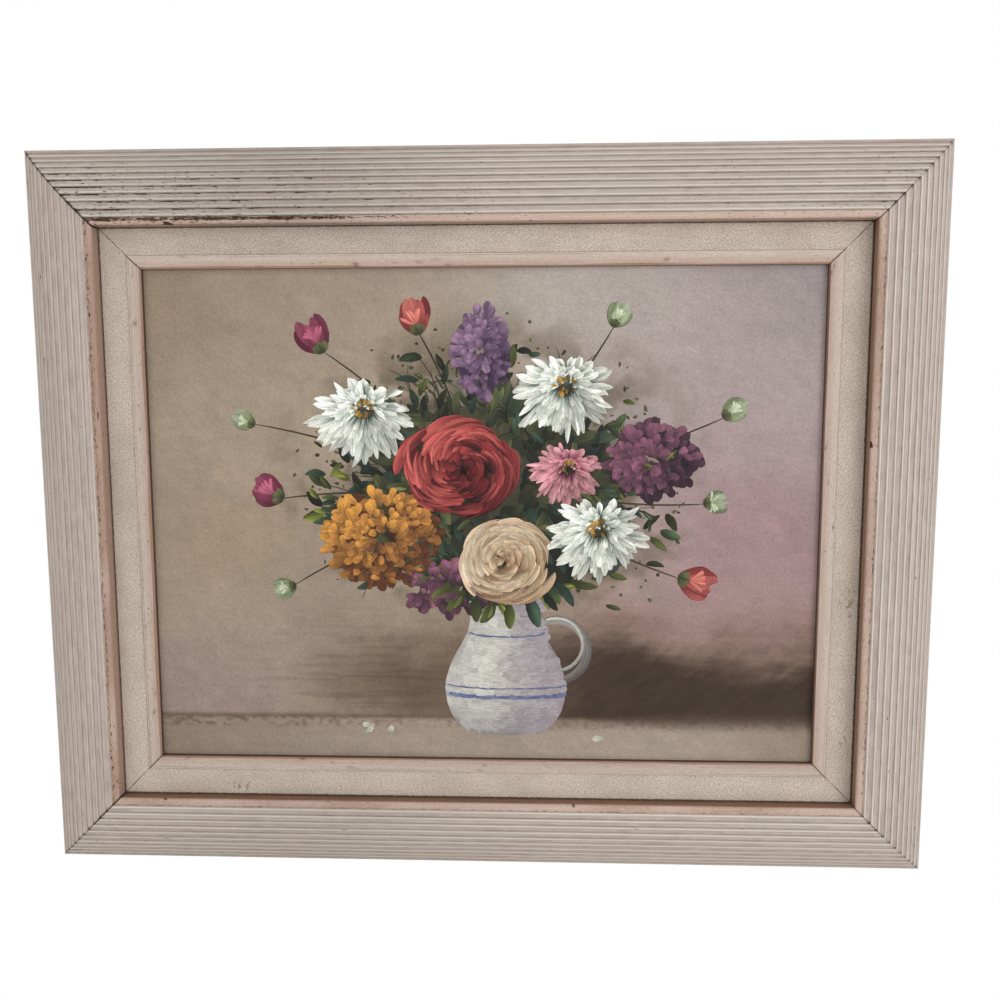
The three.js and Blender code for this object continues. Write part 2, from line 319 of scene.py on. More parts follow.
# A mitred rail: a closed profile of (inset, depth) carried along its side, each row ending gap metres short
# of the mitre, with rows close together at its ends. shape moves the points of the profile's grid before
# they are placed, and gives the piece's values
def carveRail(name, side, profile, halves, steps, finish, shape, sharp, gap):
    place = sides[side]
    half, length = halves[place["across"]], halves[place["along"]]
    close = np.array([0.0, 0.25, 0.6, 1.2, 2.4]) * millimetre
    t = np.concatenate([-np.ones(5), np.linspace(-1, 1, steps - 10), np.ones(5)])[None, :]
    short = np.concatenate([close, np.full(steps - 10, 0.004), close[::-1]])[None, :]
    inset = np.repeat(profile[:, :1], steps, 1)
    depth = np.repeat(profile[:, 1:2], steps, 1)
    run = np.concatenate([[0], np.cumsum(np.hypot(*np.diff(profile, axis=0).T))])[:, None]
    along = t * (length - inset - gap - short)
    inset, depth, values = shape(side, inset, depth, run, along, length - inset - gap - np.abs(along))
    along = t * (length - inset - gap - short)
    values = {key: np.broadcast_to(value, along.shape) for key, value in values.items()}
    points = turnSide(along, depth, inset, half, place["turn"]).reshape(-1, 3)
    faces = gridFaces(len(profile), steps, wrap=True)
    caps = np.array(tessellate_polygon([[Vector((a, b, 0)) for a, b in profile]]))
    ccw = np.cross(profile[caps[:, 1]] - profile[caps[:, 0]], profile[caps[:, 2]] - profile[caps[:, 0]])
    caps = np.where(ccw[:, None] > 0, caps, caps[:, ::-1])
    ends = np.concatenate([caps * steps, caps[:, ::-1] * steps + steps - 1])
    uv = np.stack([along + place["shift"], np.repeat(run, steps, 1)], -1).reshape(-1, 2)
    return makePiece(name, points, [faces, ends], finish, values=values, uv=uv, sharp=sharp)


# The frame's moulding: an arc of stepped reeds over a square side, with a lip and a rabbet. Sizes in mm
moulding = dict(
    side=17.8, lipWidth=4.2, lipDrop=0.8, lipRadius=1.2, wallDrop=9.2, lipCover=6.0, clearance=1.0,
    pitch=4.5, outerBand=2.5, grooveDepth=0.95, grooveWidth=0.35, flute=0.62, crest=1.55, shoulder=0.4,
    crestRound=0.2, step=0.25, gap=0.3,
    steps=188, wander=0.10, wear=0.16, nicks=20, rubbed=dict(top=0.2, right=0.7, bottom=0.6, left=0.95),
    crestPaintAndLight=dict(top=1.05, right=0.3, bottom=1.1, left=0.35),  # how pale the crests are: cream paint, with painted light making them paler on some sides
    lines=dict(top=1.05, right=1.3, bottom=1.15, left=0.85),  # how bright the painted highlight along each crest is
    furrows=dict(top=1.0, right=0.25, bottom=0.7, left=0.3),  # how dark the painted shade in the grooves is
    filled=dict(top=0.0, right=0.5, bottom=0.1, left=0.5),  # mm of paint in the grooves
    foot=dict(top=0.2, right=0.9, bottom=0.45, left=0.3),  # how dark the painted shade at the wall's foot is
    joints=dict(top=(1.0, 0.25), right=(0.25, 0.15), bottom=(0.15, 0.75), left=(0.75, 1.0)),  # at each end
    # how much of the wall is brown: rubbed bare wood, darker towards its foot as painted shade
    bare=dict(top=0.15, right=0.85, bottom=1.0, left=0.5),
    # dusk: painted shade and light on each side, darker above nought and lighter below it
    dusk=dict(top=0.05, right=-0.1, bottom=-0.08, left=-0.2),
    flecks=dict(top=(0.3, 0.3, 1.05), right=(0.1, 0.22, 0.5), bottom=(0.02, 0.16, 0.6),
                left=(0.2, 0.4, 0.52)),
)
railWidth = (sideHigh.x - sideLow.x) / millimetre
railDepth = (frameHigh.y - frameLow.y) / millimetre


# One reed's sink below the arc by distance inwards from its outer groove: groove, flute, crest and step
def reedSink(distance, m):
    crestStart = m["pitch"] - m["step"] - m["crest"]
    marks = [0, m["grooveWidth"], crestStart, crestStart + m["shoulder"], crestStart + m["crest"] * 0.5,
             m["pitch"] - m["step"], m["pitch"]]
    sinks = [m["grooveDepth"], m["flute"], m["flute"] * 0.92, m["crestRound"], 0, m["crestRound"],
             m["grooveDepth"]]
    return np.interp(distance, marks, sinks)


# The moulding's profile: side, arc by arc length with its reeds, lip with a quarter round, wall, rabbet
def mouldingProfile(m):
    rise, run = railDepth - m["side"], railWidth - m["lipWidth"]
    radius = (run ** 2 + rise ** 2) / (2 * rise)
    arc = radius * math.asin(run / radius)
    reeds = math.floor((arc - m["outerBand"]) / m["pitch"])
    crestStart = m["pitch"] - m["step"] - m["crest"]
    local = np.array([0, 0.18, 0.36, 0.9, 1.5, 2.1, crestStart, crestStart + 0.2, crestStart + 0.42,
                      crestStart + 0.75, crestStart + 1.1, crestStart + 1.35, crestStart + 1.55,
                      crestStart + 1.68])
    inward = np.concatenate([(reeds - k) * m["pitch"] - local for k in range(reeds)] + [[0.0]])
    phase = np.concatenate([local] * reeds + [[0.0]])
    band = np.linspace(arc - 0.8, reeds * m["pitch"] + 0.5, 5)
    distance = np.concatenate([band, inward])
    sink = np.concatenate([band * 0, reedSink(phase, m)])
    bend = distance / radius
    face = np.stack([run - (radius - sink) * np.sin(bend),
                     railDepth - radius + (radius - sink) * np.cos(bend)], -1)
    lipTop = railDepth - m["lipDrop"]
    turn = np.linspace(0, math.pi / 2, 7)
    lipEdge = railWidth - m["lipRadius"]
    lip = np.concatenate([
        [[run + 0.35, lipTop - 0.12], [run + 0.8, lipTop]],
        np.stack([np.linspace(run + 1.3, lipEdge - 0.1, 5), np.full(5, lipTop)], -1),
        np.stack([lipEdge + m["lipRadius"] * np.sin(turn), lipTop - m["lipRadius"] * (1 - np.cos(turn))],
                 -1)])
    seat = lipTop - m["wallDrop"] + m["gap"]
    wall = np.stack([np.full(6, railWidth), np.linspace(lipTop - m["lipRadius"] - 1, seat, 6)], -1)
    rabbet = railWidth - m["lipCover"] - m["clearance"]
    back = np.array([[rabbet, seat], [rabbet, seat / 2], [rabbet, 0], [rabbet * 0.66, 0],
                     [rabbet * 0.33, 0], [0.0, 0]])
    side = np.stack([np.zeros(8), np.linspace(1.5, m["side"] - 0.8, 8)], -1)
    profile = np.concatenate([side, face, lip, wall, back])
    zones = (["side"] * 8 + ["band"] * 5 + ["reed"] * len(inward) + ["lip"] * 14 + ["wall"] * 6
             + ["back"] * 6)
    phase = np.concatenate([np.full(13, -1.0), phase, np.full(len(profile) - 13 - len(phase), -1.0)])
    reed = np.concatenate([np.full(13, -1), np.repeat(np.arange(reeds), len(local)),
                           np.full(len(profile) - 13 - reeds * len(local), reeds)])
    return profile, np.array(zones), phase, reed


# Worn shape: reeds wander along their length, crests are rubbed low
# in places and small nicks are cut in them
def wearMoulding(m, zones, phase, reed):
    onCrest = smooth(2.5, 3.0, phase)[:, None] * (phase >= 0)[:, None]
    washed = (smooth(2.2, 3.0, phase) * smooth(4.4, 3.9, phase))[:, None]
    # line: a painted highlight along each crest
    line = (smooth(2.95, 3.25, phase) * smooth(4.0, 3.6, phase))[:, None]
    thread = (smooth(0.9, 1.4, phase) * smooth(2.1, 1.6, phase))[:, None]
    inGroove = (smooth(1.5, 0.2, phase) * (phase >= 0))[:, None]
    mask = {z: (zones == z)[:, None].astype(float) for z in ("lip", "wall", "back", "side", "band", "reed")}
    random = np.random.default_rng(7)

    def shape(side, inset, depth, run, along, fromEnd):
        seed = sides[side]["shift"] * 10
        mm, inMm, runMm = along / millimetre, inset / millimetre, run / millimetre
        rows = reed[:, None] + 0 * mm
        wander = wobble(mm / 55, rows * 3.1, seed, 2)
        rub = smooth(0.56, 0.8, noise(mm / 26, rows * 5.7, seed + 3, 2))
        sink = m["wear"] * rub * onCrest + m["wander"] * wander * (mask["reed"] + mask["lip"])
        fine = wobble(mm / 2.2, runMm / 1.1, seed + 9, 2) * 0.09 * (1 - mask["back"])
        sink = sink + fine - m["filled"][side] * inGroove
        nick = 0 * sink
        half = halvesFrame[sides[side]["along"]] / millimetre
        for _ in range(m["nicks"]):
            place, row = random.uniform(-half, half), random.integers(0, len(zones))
            long, wide = random.uniform(0.5, 2.2), random.uniform(0.2, 0.45)
            nick = nick + bump(mm, runMm, place, runMm[row], long, wide) * random.uniform(0.15, 0.5)
        chip = smooth(0.74, 0.9, noise(mm / 5.5, 0 * mm + 0.5, seed + 21, 2)) * mask["lip"]
        edge = np.clip(inMm - (railWidth - 2.0), 0, 2) / 2
        sink = sink + nick * (1 - mask["back"]) + 0.7 * chip * edge
        inward = 0.35 * sink * (mask["side"] + 0.6 * (mask["reed"] + mask["band"]))
        downward = sink * (mask["reed"] + mask["lip"] + 0.5 * mask["band"])
        gap = fromEnd / millimetre + 0.5 * wobble(runMm / 2.0, 0 * mm, seed + 30, 2)
        opened = np.where(mm < 0, *m["joints"][side]) + 0.6 * smooth(24, 34, inMm)
        wedge = inGroove * smooth(2.3, 0.7, gap + 0.8 * noise(runMm / 4, np.sign(mm) * 3, seed + 31, 1))
        crestPaintAndLight = m["crestPaintAndLight"][side] * (0.6 + 0.8 * noise(mm / 70, rows * 2.3, seed + 50, 2))
        middle, spread, amount = m["flecks"][side]
        acrossLip = (inMm - railWidth + m["lipWidth"]) / m["lipWidth"]
        flecks = amount * np.exp(-((acrossLip - middle) / spread) ** 2)
        if side == "top":
            flecks = flecks * (0.15 + 0.85 * smooth(10, -140, mm))
            flecks = flecks * (0.5 + noise(mm / 8, rows, seed + 70, 2))
        deepWall = np.clip((railDepth - 2 - depth / millimetre) / 8, 0, 1) * mask["wall"]
        # Painted shade and light: the dim patch, darker towards the top rail's left end, a lighter top lip,
        # and lighter towards the bottom rail's right end
        dusk = m["dusk"][side] + paintedShadeAlong(side, mm, 1.0, 0.6)
        if side == "top":
            dusk = dusk + 0.55 * smooth(30, -130, mm) - 0.6 * mask["lip"]
        if side == "bottom":
            dusk = dusk - 0.3 * smooth(0, -60, mm)
        rubbed = m["rubbed"][side] * (0.35 + 1.3 * noise(mm / 40, inset / 9000, seed + 40, 2))
        values = dict(
            crest=washed * crestPaintAndLight, groove=inGroove, lip=mask["lip"], wall=mask["wall"], raw=mask["back"],
            side=mask["side"], deep=deepWall, nick=np.clip(nick * 1.6 + chip * edge, 0, 1),
            mitre=np.clip(smooth(0.3 + 0.45 * opened, 0.06, gap) * opened + wedge, 0, 1),
            line=line * crestPaintAndLight / m["crestPaintAndLight"][side] * m["lines"][side],
            furrow=smooth(0.7, 0.98, inGroove) * m["furrows"][side], flecks=flecks,
            thread=thread * noise(mm / 80, rows * 4.7, seed + 60, 2), bare=mask["wall"] * m["bare"][side],
            foot=mask["wall"] * m["foot"][side], dusk=dusk, wear=wearAmount(side, mm, inMm),
            rub=np.clip(rubbed, 0, 1))
        return inset + millimetre * inward, np.maximum(depth - millimetre * downward, 0), values
    return shape


# Painted shade: a dim patch that crosses the top and bottom sides left of the middle
def paintedShadeAlong(side, mm, top, bottom):
    place = mm if side == "top" else -mm
    return np.exp(-((place + 108) / 75) ** 2) * ((side == "top") * top + (side == "bottom") * bottom)


# Where the paint is most worn: the top rail's inner reeds on its left half, lips and corners
def wearAmount(side, mm, inset):
    inner = smooth(16, 44, inset)
    patch = noise(mm / 70, inset / 30, sides[side]["shift"] * 7, 2)
    half = 250 if side in ("top", "bottom") else 200
    corner = smooth(0.72, 1.0, np.abs(mm) / half)
    if side == "top":
        left = 1 - smooth(-190, 60, mm)
        amount = 0.6 * smooth(2, 20, inset) * (0.4 + 0.6 * left) + 0.22 * smooth(34, 46, inset)
    elif side == "left":
        amount = 0.42 * smooth(38, 44, inset) + 0.10 * (1 - inner)
    elif side == "bottom":
        amount = 0.10 * inner
    else:
        amount = 0.30 * smooth(38, 46, inset)
    return np.clip(amount + 0.22 * corner + 0.5 * (patch - 0.5), 0, 1)


# Cream and rose paint brushed over brown wood: rose lies in the flutes, cream on the crests, brown where
# rubbed.
# Painted highlights run along the crests, painted shade lies in the grooves and at the wall's foot
mouldingPaint = dict(
    cream=light(194, 186, 175), rose=light(187, 171, 161), bright=light(219, 213, 203),
    deep=light(168, 153, 144),
    # furrow is the colour of the painted shade in the grooves
    furrow=light(138, 120, 108), brown=light(64, 37, 16), orange=light(160, 131, 113),
    lip=light(194, 166, 151),
    rust=light(146, 108, 86), umber=light(104, 74, 57), rawWood=light(150, 116, 82), gap=light(42, 31, 24),
    roughness=0.62,
)


def mouldingFinish(c):
    f = Finish("paintedMoulding", Roughness=c["roughness"], Specular_IOR_Level=0.2)
    streak, long = f.spread(26, 1500, 4.0, 0.6), f.spread(7, 260, 3.0, 0.55)
    mottle, fine = f.spread(90, 240, 3.0, 0.6), f.spread(1000, 1500, 2.0, 0.6)
    specks, dashes = f.spread(300, 1100, 3.0, 0.7), f.spread(75, 450, 5.0, 0.75)
    crumbs = f.spread(330, 1400, 4.0, 0.7)
    crest, line, thread, groove, furrow, side, raw = f.attributes(
        "crest line thread groove furrow side raw")
    lip, wall, deep, bare, foot, flecks, rub = f.attributes("lip wall deep bare foot flecks rub")
    nick, wear, mitre, dusk = f.attributes("nick wear mitre dusk")
    painted = f.coats(
        c, f.mix(mottle.between(0.3, 0.7), c["deep"], c["rose"]),
        ("cream", (long * 0.6 + streak * 0.4).between(0.42, 0.66) * 0.55),
        # Cream on the crests, with painted light making them paler on some sides
        ("cream", (crest * 0.8 + streak * 0.5).between(0.4, 1.0)),
        ("bright", thread.between(0.35, 0.7) * streak.between(0.35, 0.6) * 0.5),
        # Painted highlight along each crest
        ("bright", (line * 0.75 + streak * 0.35).between(0.5, 0.95) * 0.9),
        ("deep", (streak * 0.6 + fine * 0.5).between(0.58, 0.76) * 0.55),
        ("lip", (lip + wall) * (mottle * 0.5 + 0.6)),
        ("bright", (streak * 0.6 + fine * 0.4).between(0.5, 0.66) * lip * 0.6),
        # Painted shade in the grooves
        ("furrow", furrow * (streak * 0.5 + 0.25)),
        ("orange", (rub * 0.42 + crumbs * 0.55 + mottle * 0.25).between(0.56, 0.86) * lip * 0.85),
        ("rust", (flecks * 0.6 + mottle * 0.4).between(0.36, 0.8) * lip * 0.55))
    wood = f.mix((streak * 0.7 + crumbs * 0.3 + deep * 0.15).between(0.45, 0.7), c["rust"], c["umber"])
    # The wall: brown wood where rubbed, darker towards its foot as painted shade
    painted = f.mix((deep + streak * 0.4).between(0.06, 0.3) * bare * 0.95, painted, wood)
    lines = (wear * 0.25 + dashes * 0.9).between(0.64, 0.66) * groove.between(0.42, 0.58)
    speckle = (specks + wear * 0.12 + nick * 0.5).between(0.69, 0.74)
    lipLine = (flecks * 0.3 + crumbs * 0.85).between(0.61, 0.65) * lip
    # Painted shade at the wall's foot, by the linen
    atFoot = (deep + specks * 0.25).between(0.86, 0.98) * foot
    brown = lines.maths("MAXIMUM", speckle).maths("MAXIMUM", lipLine).maths("MAXIMUM", atFoot) * 0.97
    worn = f.coats(
        c, painted, ("brown", brown),
        ("cream", lipLine * (mottle * 0.5 + specks * 0.5).between(0.54, 0.6) * 0.8), ("gap", mitre * 0.9))
    grain = f.mix(streak.between(0.3, 0.75), f.tint(c["rawWood"], fine * 0.3 + 0.75), c["brown"])
    colour = f.mix(raw, worn, f.mix(0.6, c["rawWood"], grain))
    colour = f.mix(side * (long.between(0.5, 0.8) * 0.35), colour, c["deep"])
    # Painted shade and light: dusk darkens or lightens the whole colour
    colour = f.tint(colour, dusk * -0.13 + fine * 0.24 + 0.89)
    height = streak * 0.5 + fine * 0.4 - brown * 0.9
    return f.finishWith(colour, 0.55 + brown * 0.2 + fine * 0.12, height, 0.00022)


hair = 0.0002  # metres the long sides reach out so that the mitres meet
halvesFrame = dict(x=outerHalf["x"] + hair, z=outerHalf["z"])
framePaint = mouldingFinish(mouldingPaint)
profileMm, zoneList, phaseList, reedList = mouldingProfile(moulding)
shapeMoulding = wearMoulding(moulding, zoneList, phaseList, reedList)
for sideName in sides:
    piece = carveRail(f"moulding_{sideName}", sideName, profileMm * millimetre, halvesFrame,
                      moulding["steps"],
                      framePaint, shapeMoulding, sharp=32, gap=0.00006)
    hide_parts(f"frame_rail_{sideName}")
print("moulding carved:", len(profileMm), "points round the profile")


# The liner: a wooden rail with a flat for the linen, and a painted
# fillet swelling down to the picture. Sizes in mm
liner = dict(
    linenWidth=21.7, linenThickness=0.5, gap=0.3, seamWidth=0.1, filletWidth=7.3, filletRise=0.5,
    filletDrop=2.7,
    setback=2.95, overlap=7.7, steps=150, nicks=10,
    pink=light(188, 168, 154), blush=light(184, 158, 144), pale=light(202, 187, 174),
    shade=light(158, 132, 117),
    brown=light(84, 58, 43), rust=light(146, 108, 84), wood=light(168, 132, 96), seam=light(36, 25, 19),
    # level: painted light and shade, how much lighter or darker each side's fillet is
    roughness=0.5, level=dict(top=1.08, right=1.07, bottom=0.9, left=0.92),
    shadow=dict(top=0.0, right=0.13, bottom=0.06, left=0.04),  # how far the brown sight edge and the painted shadow on it reach
)
linerHalves = dict(x=(linerHigh.x - linerLow.x) / 2 + hair, z=linerHigh.z - centreZ)


# The liner's profile: back edge, flat under the linen, a step, the
# fillet's slow curve, its edge and the rabbet
def linerProfile(l):
    face = -(linerLow.y - backY) / millimetre - l["filletRise"] - l["linenThickness"] - l["gap"]
    back = (backY - linerHigh.y) / millimetre
    linenFace = face + l["gap"] + l["linenThickness"]
    top = linenFace + l["filletRise"]
    inset = l["linenWidth"] + l["seamWidth"]
    a = np.linspace(0, 1, 15)
    fillet = np.stack([inset + l["filletWidth"] * a,
                       top - l["filletDrop"] * (a + 1 - np.cos(math.pi / 2 * a)) / 2], -1)
    fillet[:, 0] += (l["gap"] - l["seamWidth"]) * a
    fillet[0] += (0.15, -0.02)
    edge = top - l["filletDrop"]
    sight = l["linenWidth"] + l["gap"] + l["filletWidth"]
    seat = edge - l["setback"] + l["gap"]
    rabbet = sight - l["overlap"]
    flat = [[0, back], [0, (back + face) / 2], [0, face], [inset / 2, face], [inset - 0.05, face],
            [inset, face + 0.4], [inset + 0.02, top - 0.3]]
    under = [[sight, edge - 0.5], [sight, seat], [rabbet, seat], [rabbet, (seat + back) / 2],
             [rabbet, back]]
    zones = ["hidden"] * 5 + ["step"] * 2 + ["fillet"] * 15 + ["edge"] * 2 + ["hidden"] * 3
    return np.concatenate([flat, fillet, under]), np.array(zones)


# The fillet is waved a little by hand sanding and carries small
# dents; its brown edge shows where paint is rubbed, and painted shadow widens it on some sides
def wearLiner(l, zones):
    random = np.random.default_rng(19)

    def shape(side, inset, depth, run, along, fromEnd):
        seed = 40 + sides[side]["shift"] * 10
        mm = along / millimetre
        fillet = ((zones == "fillet") | (zones == "edge"))[:, None] + 0 * mm
        across = np.clip((inset / millimetre - l["linenWidth"] - l["gap"]) / l["filletWidth"], 0, 1)
        sink = fillet * 0.12 * wobble(mm / 30, across * 2, seed, 2)
        sink = sink + fillet * 0.05 * wobble(mm / 2.5, across * 5, seed + 3, 2)
        dent = 0 * sink
        for _ in range(l["nicks"]):
            place, row = random.uniform(-190, 190), random.uniform(0.05, 1.0)
            long, wide = random.uniform(0.5, 1.6), random.uniform(0.06, 0.16)
            dent = dent + fillet * bump(mm, across, place, row, long, wide)
        depth = depth - millimetre * (sink + 0.35 * np.clip(dent, 0, 1))
        gap = fromEnd / millimetre + 0.3 * wobble(run / millimetre / 2.0, 0 * mm, seed + 30, 2)
        edge = (zones == "edge")[:, None] + 0 * mm
        values = dict(fillet=fillet, across=across * fillet, edge=edge, dent=np.clip(dent, 0, 1),
                      mitre=smooth(0.6, 0.12, gap),
                      wear=np.clip((noise(mm / 45, across, seed + 8, 2) - 0.3) * 1.2
                                   + dict(left=0.5, bottom=0.25, right=0.1, top=0.0)[side], 0, 1),
                      level=l["level"][side] + 0 * mm, shadow=l["shadow"][side] + 0 * mm)
        return inset, depth, values
    return shape


def linerFinish(c):
    f = Finish("paintedFillet", Roughness=c["roughness"])
    fillet, across, edge, shadow, dent, wear = f.attributes("fillet across edge shadow dent wear")
    streak, mottle = f.spread(24, 1200, 4.0, 0.65), f.spread(75, 180, 3.0, 0.6)
    fine, grainy = f.spread(900, 2600, 2.0, 0.6), f.spread(420, 800, 3.0, 0.65)
    band = (across + mottle * 0.3 - 0.15).between(0.25, 0.85)
    atSeam = (across - 0.13).maths("ABSOLUTE").between(0.035, 0.015) * fillet
    paint = f.coats(
        c, f.mix(band, f.mix(mottle.between(0.3, 0.7), c["pink"], c["pale"]), c["blush"]),
        ("pale", streak.between(0.45, 0.65) * 0.6),
        ("shade", (grainy * 0.7 + mottle * 0.4).between(0.52, 0.76) * 0.6),
        ("brown", atSeam * (wear + streak).between(0.7, 1.2) * 0.4),
        ("rust", (across + wear * 0.14 + (streak + grainy) * 0.05).between(0.93, 0.99) * 0.85))
    speck = (f.spread(420, 900, 2.0, 0.6) + wear * 0.07).between(0.72, 0.76)
    # Brown at the sight edge: rubbed paint, and painted shadow reaching further on some sides
    sight = ((across + shadow + streak * 0.1).between(1.05, 1.1) + edge) * 0.8
    sight = sight.maths("MAXIMUM", (across * -1 + (wear + grainy) * 0.03).between(0.0, 0.05) * 0.6)
    rub = sight.maths("MAXIMUM", speck).maths("MAXIMUM", dent * (mottle + 0.25))
    colour = f.coats(c, paint, ("brown", rub), ("seam", f.attribute("mitre") * 0.9))
    grain = f.mix(streak.between(0.35, 0.7) * 0.6, c["wood"], c["brown"])
    # Painted light and shade: each side's fillet made lighter or darker by level
    colour = f.tint(f.mix(fillet, grain, colour), f.attribute("level") * (fine * 0.12 + 0.94))
    return f.finishWith(colour, 0.5 + rub * 0.2 + fine * 0.12, streak * 0.4 + fine * 0.4 - rub * 0.5,
                        0.00012)


linerPaint = linerFinish(liner)
linerMm, linerZones = linerProfile(liner)
shapeLiner = wearLiner(liner, linerZones)
for sideName in sides:
    piece = carveRail(f"liner_wood_{sideName}", sideName, linerMm * millimetre, linerHalves, liner["steps"],
                      linerPaint, shapeLiner, sharp=50, gap=0.0001)
    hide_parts(f"liner_rail_{sideName}")
print("liner carved")


# Linen glued on the liner's flat: a slubby plain weave with husks, painted shade along its edges by the lip
# and the fillet, and one brown stain
linen = dict(
    thread=1750.0, pale=light(244, 229, 213), tan=light(153, 136, 118), huskAndShade=light(122, 98, 72),
    stain=light(118, 94, 66), dark=light(62, 47, 36), roughness=0.9, seamWide=0.35,
    dusk=dict(top=0.0, right=0.35, bottom=0.0, left=0.35),  # painted shade: how much darker than the threads' own colour
    stains=dict(right=((128, 0.6, 9, 0.22), (47, 0.55, 11, 0.26)), bottom=((150, 0.5, 10, 0.2),)),
)


# The cloth lies flat with a faint cockle. spot marks the stains, rim and inner the painted shade along its
# outer and inner edges
def shapeLinen(side, inset, depth, run, along, fromEnd):
    mm = along / millimetre
    face = (depth > depth.mean()) * 1.0
    cockle = 0.08 * (noise(mm / 18, inset / millimetre / 9, 60 + sides[side]["shift"] * 10, 2) - 0.6)
    across = inset / inset.max()
    spot = np.zeros_like(mm)
    for place, row, long, wide in linen["stains"].get(side, ()):
        spot = spot + bump(mm, across, place, row, long, wide)
    rim = smooth(0.35, 0.29, across)
    inner = smooth(0.95, 1.0, across)
    fray = 0.5 * wobble(inset * 900, 0 * mm, 61, 2)
    seam = smooth(linen["seamWide"], 0.02, fromEnd / millimetre + fray)
    # Painted shade on the linen: the dim patch and darker sides
    dusk = paintedShadeAlong(side, mm, 1.3, 0.6) + linen["dusk"][side]
    values = dict(spot=spot, rim=rim, inner=inner, seam=seam, dusk=dusk)
    return inset, depth + millimetre * np.minimum(cockle * face, 0), values


# Plain weave of pale and tan threads with slubs and husks, cloudy grime, freckled stains and painted shade
# along its edges
def linenFinish(c):
    f = Finish("linen", Roughness=c["roughness"], Sheen_Weight=0.15)
    threads = f.weave(c["thread"], c["thread"] * 0.93, 0.8)
    yarn = (f.spread(700, 1900, 3.0, 0.7) + f.spread(1900, 700, 3.0, 0.7)) * 0.5
    cloud, blotch = f.spread(30, 42, 3.0, 0.6), f.spread(330, 330, 3.0, 0.6)
    spot, rim, inner, seam, dusk = f.attributes("spot rim inner seam dusk")
    colour = f.coats(
        c, f.mix((threads * 0.34 + yarn * 0.95).between(0.55, 0.71), c["tan"], c["pale"]),
        ("tan", cloud.between(0.35, 0.75) * 0.3),
        ("huskAndShade", f.spread(460, 620, 2.0, 0.5).between(0.72, 0.77) * 0.6),
        ("stain", (spot * 0.2 + blotch).between(0.68, 0.78) * (spot.between(0.0, 0.4) * 0.6)),
        # Painted shade along the outer edge by the frame's wall and the inner edge by the fillet
        ("huskAndShade", (rim * 0.8 + inner * 0.5 + blotch * 0.5).between(0.5, 1.2) * 0.8),
        ("dark", (rim + blotch * 0.6).between(1.0, 1.3) * 0.85),
        ("dark", seam * (blotch.between(0.3, 0.6) * 0.5 + 0.3)))
    grain = f.spread(1500, 1500, 3.0, 0.65)
    # Painted shade: dusk darkens the cloth
    colour = f.tint(colour, (grain - 0.5) * 0.95 + 1.0 - dusk * 0.1)
    return f.finishWith(colour, None, threads * 0.8 + yarn * 0.7, 0.00025)


linenCloth = linenFinish(linen)
linenFace = -(linenLow.y - backY)
linenBack = linenFace - liner["linenThickness"] * millimetre
widths = np.array([0, 3, 5.8, 6.2, 6.7, 7.3, 9, 12, 15, 18, 20.4, 21.1, liner["linenWidth"]]) * millimetre
linenOutline = np.concatenate([np.stack([widths, np.full(13, linenFace)], -1),
                               np.stack([widths[::-1], np.full(13, linenBack)], -1)])
for sideName in sides:
    piece = carveRail(f"linen_{sideName}", sideName, linenOutline, linerHalves, 100, linenCloth,
                      shapeLinen, sharp=50, gap=0.0001)
    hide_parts(f"liner_linen_{sideName}")
    longest = 2 * linerHalves[sides[sideName]["along"]]
    wide = liner["linenWidth"] * millimetre
    wide * (longest - wide)
print("linen laid")


# The raw canvas: a shallow tray of cloth whose edges turn down over the bars. Sizes in mm
canvasCut = dict(thickness=0.6, turned=12.0, cornerRadius=1.2, thread=1000.0,
                 raw=light(190, 176, 150), shade=light(150, 132, 104), primer=light(206, 202, 192),
                 roughness=0.92)


